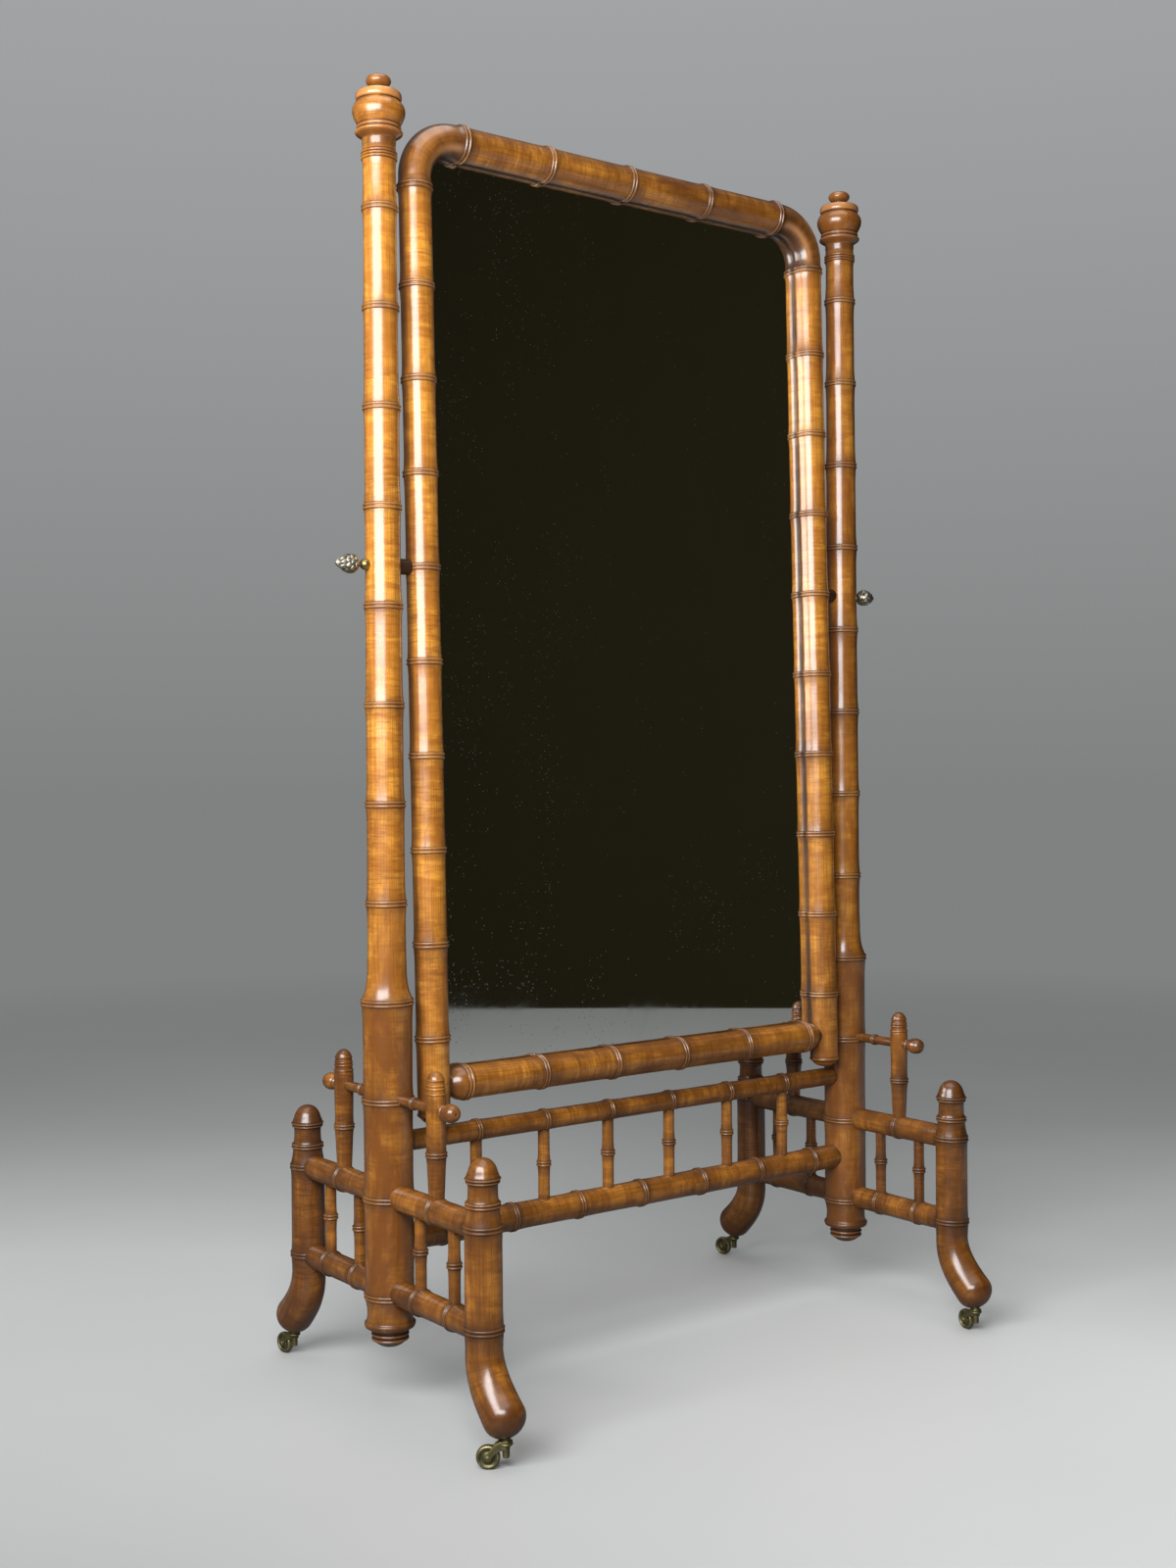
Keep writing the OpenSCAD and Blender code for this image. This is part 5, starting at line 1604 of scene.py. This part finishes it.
    def top_rail(self) -> None:
        """The top rail between the elbow joints, ringed three times."""
        end = self.stile_x - self.bend - self.elbow_end
        rings = np.array([-self.top_pitch, 0.0, self.top_pitch])
        x = stations(-end, end, [*rings, -end, end])
        style = RingStyle(rise=2.4, bead=3.9, groove=1.4, flare=0.9, flare_length=22)
        near = end - np.abs(x)
        rise = np.maximum(style.swell(x, rings), self.joint_collar(near, self.joint_rise))
        soil = np.maximum(style.soil(x, rings), self.joint_soil(near))
        worn = np.maximum(style.worn(x, rings), 0.9 * hump(near, 2.9, 1.4))
        # painted shade: darker towards the right end
        tone = 0.20 + 0.2 * fading(near, 30) + 0.55 * falling(x, 60, -70)
        path = np.stack([x, np.zeros_like(x), np.full_like(x, self.up)], 1)
        self.bar("frame_top_rail", FINISHES.amber, path, (0.0, 0.0, -1.0), self.top_radius + rise,
                 np.ones(len(x), bool), soil, worn, tone, seed=17)

    def bottom_rail(self) -> None:
        """The bottom rail: four rings, one more near each end, a rounded end over each stile and
        a neck into it."""
        last = 2.5 * self.pitch
        end = self.stile_x - 16.0
        rings = np.array([k * self.pitch for k in (-1.5, -0.5, 0.5, 1.5)])
        x = stations(-end, end, [*rings, -last, last, last + 22, -last - 22], 7.0)
        near = np.abs(x)
        line = smooth_outline([
            (0, self.bottom_radius), (last - 26, self.bottom_radius), (last - 7, 24.0),
            (last - 5.6, 24.3), (last - 4.4, 25.5), (last - 2.6, 26.0), (last - 0.9, 25.3),
            (last, 24.2), (last + 0.9, 25.3), (last + 2.6, 26.0), (last + 4.4, 25.5),
            (last + 5.6, 24.6), (last + 9, 24.2), (last + 14, 22.9), (last + 19, 20.4),
            (last + 23, 17.4), (last + 25.6, 15.4), (last + 27, 14.8), (end, 14.8),
        ], 2)
        style = RingStyle(rise=2.3, flare=0.9, flare_length=22)
        radius = np.interp(near, *line.T) + style.swell(x, rings)
        d = np.abs(near - last)
        worn = np.maximum(style.worn(x, rings), 0.8 * hump(d, 2.6, 1.4))
        # painted shade in the end collar's groove and at its bead feet, and over the neck and end on the
        # stile, whose tone is darker as well
        soil = np.maximum.reduce([style.soil(x, rings), 0.9 * hump(d, 5.6, 0.9),
                                  0.9 * hump(d, 0, 0.6), 0.6 * falling(near, last + 24, -1.5)])
        tone = 0.16 + 0.45 * falling(near, last + 6, -5)
        path = np.stack([x, np.zeros_like(x), np.full_like(x, -self.down)], 1)
        self.bar("frame_bottom_rail", FINISHES.amber, path, (0.0, 0.0, 1.0), radius,
                 np.ones(len(x), bool), soil, worn, tone, seed=19)


@dataclass
class ThumbScrew(SubAssembly):
    """One of the two screws that clamp the frame: a ball collar, a neck and a bud of leaves."""

    side: Side
    rows_of_leaves: int = 6
    leaves: int = 7
    leaf_depth: float = 2.3
    neck: float = 17.0
    bud_low: float = 17.6
    bud_high: float = 52.0
    tip: float = 375.0
    reach: float = 58.0

    def build(self) -> None:
        """Builds the screw's head as one surface. Along the bud a point's radius is the outline
        less a leaf depth times how far it lies from its leaf's midrib and tip, each row of
        leaves turned by half a leaf.
        """
        name = self.side.label
        low, high = solid_box(f"thumb_screw_{name}")
        start = float(high[0] if self.side is Side.RIGHT else -low[0]) - self.reach
        inner = self.tip - start
        outline = smooth_outline([
            (0, inner), (3.9, inner), (3.9, -0.4), (6.4, 0), (7.3, 1.8), (7.9, 4.6), (7.8, 7.2),
            (6.9, 9.6), (5.2, 11.6), (3.9, 12.8), (3.4, 14.0), (3.9, 15.2), (4.5, 16.0),
            (4.7, 17.2), (6.4, 18.2), (9.6, 20.0), (12.8, 23.2), (14.1, 27), (13.9, 31),
            (12.9, 35), (11.0, 39.2), (8.7, 43.4), (6.2, 47.2), (3.5, 50.4), (1.6, 52.0),
            (0, 52.4),
        ], 3)
        r, z = np.maximum(outline[:, 0], 0.02), outline[:, 1]
        keep = np.concatenate([[True], np.diff(z) != 0])
        r, z = r[keep], z[keep]
        dense = np.linspace(self.neck, z[-1], 120)
        r = np.concatenate([r[z < self.neck], np.interp(dense, z, r)])
        z = np.concatenate([z[z < self.neck], dense])
        v = circle(112)
        height = z[:, None]
        depth = self.carving(height, v[None, :])
        bud = (height > self.bud_low) & (height < self.bud_high)
        fade = np.clip((height - self.bud_low) / 3, 0, 1)
        fade = fade * np.clip((self.bud_high - height) / 4, 0, 1)
        carved = np.where(bud, self.leaf_depth * depth * fade, 0.0)
        local = turned_grid(np.maximum(r[:, None] - carved, 0.02), z, v)
        soil = np.where(bud, np.clip(depth * 1.5 - 0.30, 0.12, 1) * fade, 0.0)
        soil = np.maximum(soil, hump(height, 14.0, 2.2) * 0.95)
        worn = np.where(bud, np.clip(1 - depth * 2.2, 0, 1), 0.35)
        ball = np.broadcast_to(falling(height, 14.4, 0.8), soil.shape)
        floats = {"soil": soil, "worn": worn, "tone": ball}
        pivot = float(joint_place("mirror_tilt")[2])
        grid = lying_x(self.side.value * start, 0, pivot, self.side.value).apply(local)
        piece = mesh_from_grid(f"thumb_screw_{name}_cast", grid, floats, local * MM, 60.0)
        self.shop.dress(piece, FINISHES.silver, f"thumb_screw_{name}", f"thumb_screw_{name}")
        self.block()

    def carving(self, height: np.ndarray, v: np.ndarray) -> np.ndarray:
        """How deep the bud is cut between its leaves, each of which has a midrib and a tip.

        Args:
            height: heights along the screw, a column.
            v: angles around it, a row.

        Returns:
            Depth from 0 to 1.2 at each height and angle.
        """
        length = 35.4
        row = np.clip((height - self.neck) / length, 0, 0.999) ** 0.9 * self.rows_of_leaves
        number = np.floor(row)
        along = row - number
        twist = 0.13 * np.sin(2 * v + 1.7 * number) + 0.22 * along
        across = (v * self.leaves / TURN + 0.5 * (number % 2) + twist) % 1.0 - 0.5
        edge = np.clip(np.abs(across) * 2, 0, 1)
        point = np.clip(edge**1.6 + 0.85 * np.clip(along - 0.55, 0, 1) * 2 - 0.62, 0, 1)
        return np.clip(0.55 * (1 - along) + point - 0.35 * hump(across, 0, 0.07), 0, 1.2)

    def block(self) -> None:
        """The dark round block between the stile and the post, with softened edges; its near-black
        colour is painted shade in the gap.
        """
        name = self.side.label
        low, high = solid_box(f"pivot_block_{name}")
        length, radius = float(high[0] - low[0]), 11.0
        outline = smooth_outline([(0, 0), (radius - 0.9, 0), (radius, 1.0), (radius, length - 1.0),
                                  (radius - 0.9, length), (0, length)], 1)
        outline = np.insert(outline, 1, [0.4, 0], axis=0)
        place = lying_x(float(low[0]), 0, float(low[2] + high[2]) / 2)
        # painted shade: the block is darkened evenly all over
        piece = Turning(f"pivot_block_{name}_turned", outline, place, 40, tone=1.0, seed=31,
                        soil=0.6, worn=0.0, grime=0.92).build()
        self.shop.dress(piece, FINISHES.dark, "mirror", f"pivot_block_{name}")


@dataclass
class Caster(SubAssembly):
    """A small brass caster: a socket plate, a horn with two cheeks, an axle and a wheel."""

    side: Side
    face: Face
    wheel_radius: float = 15.5
    wheel_width: float = 10.0
    horn_top: float = 34.2
    axle_radius: float = 2.0
    cheek_gap: float = 5.4
    cheek_thickness: float = 2.0

    def build(self) -> None:
        """Builds the four pieces in the axes of the caster, its trail along its own x."""
        self.end = f"{self.face.label}_{self.side.label}"
        stem = joint_place(f"caster_{self.end}_swivel")
        axle = joint_place(f"wheel_{self.end}_spin")
        self.trail = float(np.hypot(*(axle - stem)[:2]))
        c, s = (axle - stem)[:2] / self.trail
        self.place = Placement((float(stem[0]), float(stem[1]), 0.0), (c, s, 0.0), (-s, c, 0.0))
        self.socket()
        self.horn()
        self.wheel()
        self.axle()

    def socket(self) -> None:
        """The round plate let into the foot."""
        low = float(solid_box(f"caster_socket_{self.end}")[0][2])
        outline = smooth_outline([(0, low), (0.6, low), (7.4, low), (8.5, low + 0.5), (8.5, low + 1.9),
                                  (7.8, low + 2.3), (5.5, low + 2.4), (5.5, low + 12), (0, low + 12)], 1)
        piece = Turning(f"caster_socket_{self.end}_plate", outline, self.place, 40, soil=0.7,
                        worn=0.4).build()
        self.shop.dress(piece, FINISHES.brass, "stand", f"caster_socket_{self.end}")

    def horn(self) -> None:
        """The hub and crown as a turning, and each cheek as a rounded flat bar carried down a
        curve from the crown to the axle, where it widens into an eye.
        """
        top = self.horn_top
        hub = smooth_outline([
            (0, 14.6), (3.6, 14.6), (4.6, 15.4), (4.7, 20), (4.7, 26), (5.4, 29.0), (8.4, 31.2),
            (9.2, 32.4), (9.0, top - 0.6), (7.6, top), (3.3, top), (3.25, top + 8), (0, top + 8.4),
        ], 2)
        body = f"caster_{self.end}"
        crown = Turning(f"caster_crown_{self.end}", hub, self.place, 40, soil=0.6, worn=0.6).build()
        self.shop.dress(crown, FINISHES.brass, body, f"caster_horn_{self.end}")
        for number, sign in enumerate((-1, 1)):
            cheek = self.cheek(sign, f"caster_cheek_{self.end}_{number}")
            self.shop.dress(cheek, FINISHES.brass, body)

    def cheek(self, sign: int, name: str) -> bpy.types.Object:
        """One cheek: sections (w cos^p, t sin^p), a rounded flat, along a cubic curve.

        Args:
            sign: -1 or 1, the side of the wheel.
            name: name of the piece.

        Returns:
            The cheek.
        """
        t = np.linspace(0, 1, 40)
        knots = np.array([[-1.5, 31.0], [9.0, 32.5], [15.5, 26.0], [self.trail, self.wheel_radius]])
        centre = cubic_curve(t, knots)
        tangent = np.gradient(centre, axis=0)
        tangent /= np.linalg.norm(tangent, axis=1)[:, None]
        eye = self.axle_radius + 2.9
        extra = np.linspace(0, 1, 12)[1:]
        centre = np.vstack([centre, centre[-1] + eye * extra[:, None] * tangent[-1]])
        tangent = np.vstack([tangent, np.repeat(tangent[-1:], len(extra), 0)])
        half = np.concatenate([
            6.2 - 2.6 * t + 1.3 * np.clip((t - 0.72) / 0.28, 0, 1) ** 2,
            eye * np.sqrt(np.clip(1 - extra**2, 0.0004, 1)),
        ])
        v, power = circle(28), 0.45
        rounded = np.sign(np.cos(v)) * np.abs(np.cos(v)) ** power
        flat = np.sign(np.sin(v)) * np.abs(np.sin(v)) ** power
        normal = np.stack([-tangent[:, 1], tangent[:, 0]], 1)
        wide = half[:, None] * rounded[None, :]
        thick = self.cheek_thickness / 2 * flat[None, :]
        y = sign * (self.cheek_gap + self.cheek_thickness / 2) + np.broadcast_to(thick, wide.shape)
        x, z = (centre[:, k:k + 1] + wide * normal[:, k:k + 1] for k in range(2))
        local = np.stack([x, y, z], -1)
        edge = np.broadcast_to(np.abs(rounded)[None, :], wide.shape)
        floats = {"soil": 0.35 * (1 - edge), "worn": 0.7 * edge**6, "tone": np.zeros(wide.shape)}
        return mesh_from_grid(name, self.place.apply(local), floats, local * MM, 50.0)

    def wheel(self) -> None:
        """The wheel: a hub, a dished web and a rounded rim on each side."""
        w, r = self.wheel_width / 2, self.wheel_radius
        half = [(self.axle_radius + 0.1, w), (4.9, w), (5.5, w - 0.5), (6.2, w - 1.9),
                (8.4, w - 2.2), (10.6, w - 1.6), (11.6, w - 0.3), (13.2, w - 0.1),
                (14.6, w - 0.9), (r - 0.2, w - 2.4), (r, w - 3.8), (r, 0)]
        outline = smooth_outline([(q, -h) for q, h in half] + [(q, h) for q, h in half[-2::-1]], 2)
        ring = np.vstack([outline, outline[:1]])
        v = circle(56)
        radius = np.broadcast_to(ring[:, :1], (len(ring), len(v)))
        x, z = radius * np.cos(v), radius * np.sin(v)
        local = np.stack([x, np.broadcast_to(ring[:, 1:], x.shape), z], -1)
        local = local + np.array([self.trail, 0, self.wheel_radius])
        hollow = np.clip(1 - np.abs(ring[:, 0] - 8.4) / 3.0, 0, 1) * (np.abs(ring[:, 1]) < w - 1)
        rows = {"soil": 0.85 * hollow, "worn": 0.5 * (ring[:, 0] > 13), "tone": 0 * hollow}
        piece = mesh_from_grid(f"caster_wheel_{self.end}_cast", self.place.apply(local),
                               spread_rows(rows, len(v)), local * MM, 50.0)
        self.shop.dress(piece, FINISHES.brass, f"wheel_{self.end}", f"caster_wheel_{self.end}")

    def axle(self) -> None:
        """The axle pin with its two riveted heads."""
        half = self.cheek_gap + self.cheek_thickness + 0.2
        r = self.axle_radius
        head = [(0, half + 0.7), (r + 0.2, half + 0.6), (r + 0.8, half + 0.1),
                (r + 0.6, half - 0.1), (r, half - 0.2)]
        outline = smooth_outline([(q, -h) for q, h in head] + head[::-1], 1)
        place = lying_y(self.trail, 0.0, self.wheel_radius).then(self.place)
        piece = Turning(f"caster_axle_{self.end}_pin", outline, place, 28, soil=0.5, worn=0.8).build()
        self.shop.dress(piece, FINISHES.brass, f"caster_{self.end}", f"caster_axle_{self.end}")


@dataclass
class Studio:
    """The plain studio: a pale floor, a soft window light from the left, a weak fill and a dark
    screen in front that only the mirror and the varnish see."""

    camera_place: Vec3 = (-1738.1, -2182.5, 893.8)
    camera_azimuth: float = 37.025
    camera_pitch: float = -0.67
    camera_roll: float = 0.473
    focal_pixels: float = 1857.6
    long_side_pixels: float = 1600.0
    sensor: float = 36.0
    floor_near: Vec3 = (0.82, 0.825, 0.81)
    floor_far: Vec3 = (0.50, 0.505, 0.495)
    wall_low: Vec3 = (0.215, 0.222, 0.222)
    wall_high: Vec3 = (0.42, 0.43, 0.44)
    fill_from: Vec3 = (-0.46, 0.10, 0.88)
    fill_levels: tuple[float, float] = (0.010, 0.20)
    back_from: Vec3 = (0.62, 0.78, 0.10)
    back_level: float = 0.80
    bounce: float = 0.24
    lamp_foot: Vec3 = (-1.7, -0.9, 0.0)

    def build(self) -> None:
        """Sets up the camera, the floor, the world and the lights."""
        self.camera()
        self.floor()
        self.world()
        self.dark_screen()
        self.window("window_left", (-1800, -1080, 1690), (2000, 1230), 104.0, (0.97, 0.985, 1.0))
        self.softbox()
        bpy.context.scene.view_settings.view_transform = "Standard"

    def camera(self) -> None:
        """The camera from its place, azimuth, pitch and roll, all named above."""
        data = bpy.data.cameras.new("camera")
        data.sensor_width = self.sensor
        data.lens = self.focal_pixels / self.long_side_pixels * self.sensor
        turns = self.camera_azimuth, self.camera_pitch, self.camera_roll
        a, p, roll = (math.radians(v) for v in turns)
        forward = np.array([math.sin(a) * math.cos(p), math.cos(a) * math.cos(p), math.sin(p)])
        level = np.array([math.cos(a), -math.sin(a), 0.0])
        right = math.cos(roll) * level - math.sin(roll) * np.cross(level, forward)
        camera = add_object("camera", data)
        camera.matrix_world = looking(right, forward, self.camera_place)
        bpy.context.scene.camera = camera

    def floor(self) -> None:
        """A wide round floor, pale near the camera, that fades into the wall's colour far from the
        mirror and throws less light back than it shows."""
        rings, columns, reach = 40, 96, 14.0
        radius = np.linspace(0.02, 1, rings) ** 2 * reach
        around = circle(columns)
        points = turned_grid(radius[:, None], np.zeros(rings), around).reshape(-1, 3)
        index = np.arange(rings * columns).reshape(rings, columns)
        following = np.roll(index, -1, axis=1)
        quads = np.stack([index[:-1], index[1:], following[1:], following[:-1]], -1).reshape(-1, 4)
        mesh = bpy.data.meshes.new("studio_floor")
        mesh.from_pydata(points.tolist(), [], [*quads.tolist(), index[0].tolist()])
        s = Shader("studio_floor")
        place = s.place()
        azimuth = math.radians(self.camera_azimuth)
        ahead = (math.sin(azimuth), math.cos(azimuth), 0.0)
        aside = (math.cos(azimuth), -math.sin(azimuth), 0.0)
        cloud = s.ramp(s.noise(place, 1.3, 4, 0.6), (0.3, -0.06), (0.8, 0.06))
        away = s.ramp(s.measure("DOT_PRODUCT", place, ahead), (-1.0, 0.0), (1.7, 1.0))
        pale = s.blend(s.math("ADD", away, cloud), self.floor_near, self.floor_far)
        shaded = s.ramp(s.measure("DISTANCE", place, self.lamp_foot), (0.7, 0.90), (2.3, 0.0))
        pale = s.blend(shaded, pale, (0.22, 0.22, 0.22))
        right_side = s.ramp(s.measure("DOT_PRODUCT", place, aside), (1.0, 0.0), (1.8, 0.8))
        mirrored = s.math("MULTIPLY", s.rays("Glossy"), right_side)
        direct = s.math("MAXIMUM", s.rays("Camera"), mirrored)
        direct = s.math("MAXIMUM", direct, s.rays("Transmission"))
        dimmed = s.ramp(direct, (0.0, 1 - self.bounce), (1.0, 0.0))
        s.set(Base_Color=s.blend(dimmed, pale, (0.0, 0.0, 0.0)), Roughness=0.45)
        far = s.ramp(s.measure("LENGTH", place), (2.2, 0.0), (5.2, 1.0))
        wall = s.node("Emission", {"Color": self.wall_low})
        seen = s.math("MULTIPLY", far, s.rays("Camera"))
        s.fill(s.output, {0: s.either(seen, s.surface.outputs[0], wall.outputs[0])})
        mesh.materials.append(s.material)
        add_object("studio_floor", mesh)

    def world(self) -> None:
        """A grey world, darker low down, that the camera sees, and for all else a dim light that
        grows from its lowest level to its highest towards the upper left, with a fill for matt
        surfaces from behind."""
        world = bpy.data.worlds.new("studio_wall")
        bpy.context.scene.world = world
        g = Graph(world)
        toward = g.place("Generated")
        rise = g.ramp(g.part(toward, 2), (-0.02, 0.0), (0.55, 1.0))
        seen = g.node("Background", {"Color": g.blend(rise, self.wall_low, self.wall_high)})
        low, high = self.fill_levels
        level = g.ramp(g.measure("DOT_PRODUCT", toward, self.fill_from), (0.0, low), (1.0, high))
        back = g.measure("DOT_PRODUCT", toward, self.back_from)
        back = g.ramp(back, (0.0, 0.0), (1.0, self.back_level))
        total = g.math("ADD", level, g.math("MULTIPLY", back, g.rays("Diffuse")))
        light = g.node("Background", {"Color": (0.96, 0.98, 1.0), "Strength": total})
        shown = g.math("MAXIMUM", g.rays("Camera"), g.rays("Transmission"))
        g.node("OutputWorld", {0: g.either(shown, light.outputs[0], seen.outputs[0])})

    def dark_screen(self) -> None:
        """A dark screen in front of the mirror, seen only in reflections, as a dim room is."""
        (x0, y0), (x1, y1), top = (0.7, -7.7), (6.0, 0.0), 7.0
        corners = [(x0, y0, 0.0), (x1, y1, 0.0), (x1, y1, top), (x0, y0, top)]
        mesh = bpy.data.meshes.new("dark_screen")
        mesh.from_pydata(corners, [], [(0, 1, 2, 3)])
        screen = add_object("dark_screen", mesh)
        s = Shader("dark_screen")
        s.set(Base_Color=(0.040, 0.033, 0.016), Roughness=1.0, Specular_IOR_Level=0.0)
        mesh.materials.append(s.material)
        for kind in ("camera", "diffuse", "transmission", "volume_scatter", "shadow"):
            setattr(screen, f"visible_{kind}", False)

    def softbox(self) -> None:
        """A large soft lamp high over the mirror, level, that lights the floor and the tops."""
        data = bpy.data.lights.new("softbox_above", "AREA")
        data.size, data.energy, data.color = 3.0, 54.0, (0.98, 0.99, 1.0)
        add_object("softbox_above", data).location = (-0.6, -0.7, 4.3)

    @staticmethod
    def window(name: str, place: Vec3, size: tuple[float, float], power: float,
               colour: Vec3) -> None:
        """An upright rectangular light that faces the mirror's own upright axis.

        Args:
            name: name of the light.
            place: its centre, in millimetres.
            size: width and height, in millimetres.
            power: in watts.
            colour: its colour.
        """
        data = bpy.data.lights.new(name, "AREA")
        data.shape = "RECTANGLE"
        data.size, data.size_y = size[0] * MM, size[1] * MM
        data.energy, data.color = power, colour
        aim = np.array([0.0, 0.0, place[2]]) - np.array(place)
        forward = aim / np.linalg.norm(aim)
        right = np.cross(forward, [0.0, 0.0, 1.0])
        right /= np.linalg.norm(right)
        add_object(name, data).matrix_world = looking(right, forward, place)


def main() -> None:
    """Builds the whole mirror in order."""
    logging.basicConfig(level=logging.INFO, format="%(message)s")
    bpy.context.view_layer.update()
    shop = Workshop()
    for side in Side:
        Post(shop, side).build()
        for face in Face:
            EndFrame(shop, side, face).build()
            Caster(shop, side, face).build()
    Stretchers(shop).build()
    TiltingFrame(shop).build()
    for side in Side:
        ThumbScrew(shop, side).build()
    Studio().build()
    LOG.info("%d pieces dressed", shop.pieces)


if __name__ == "__main__":
    main()
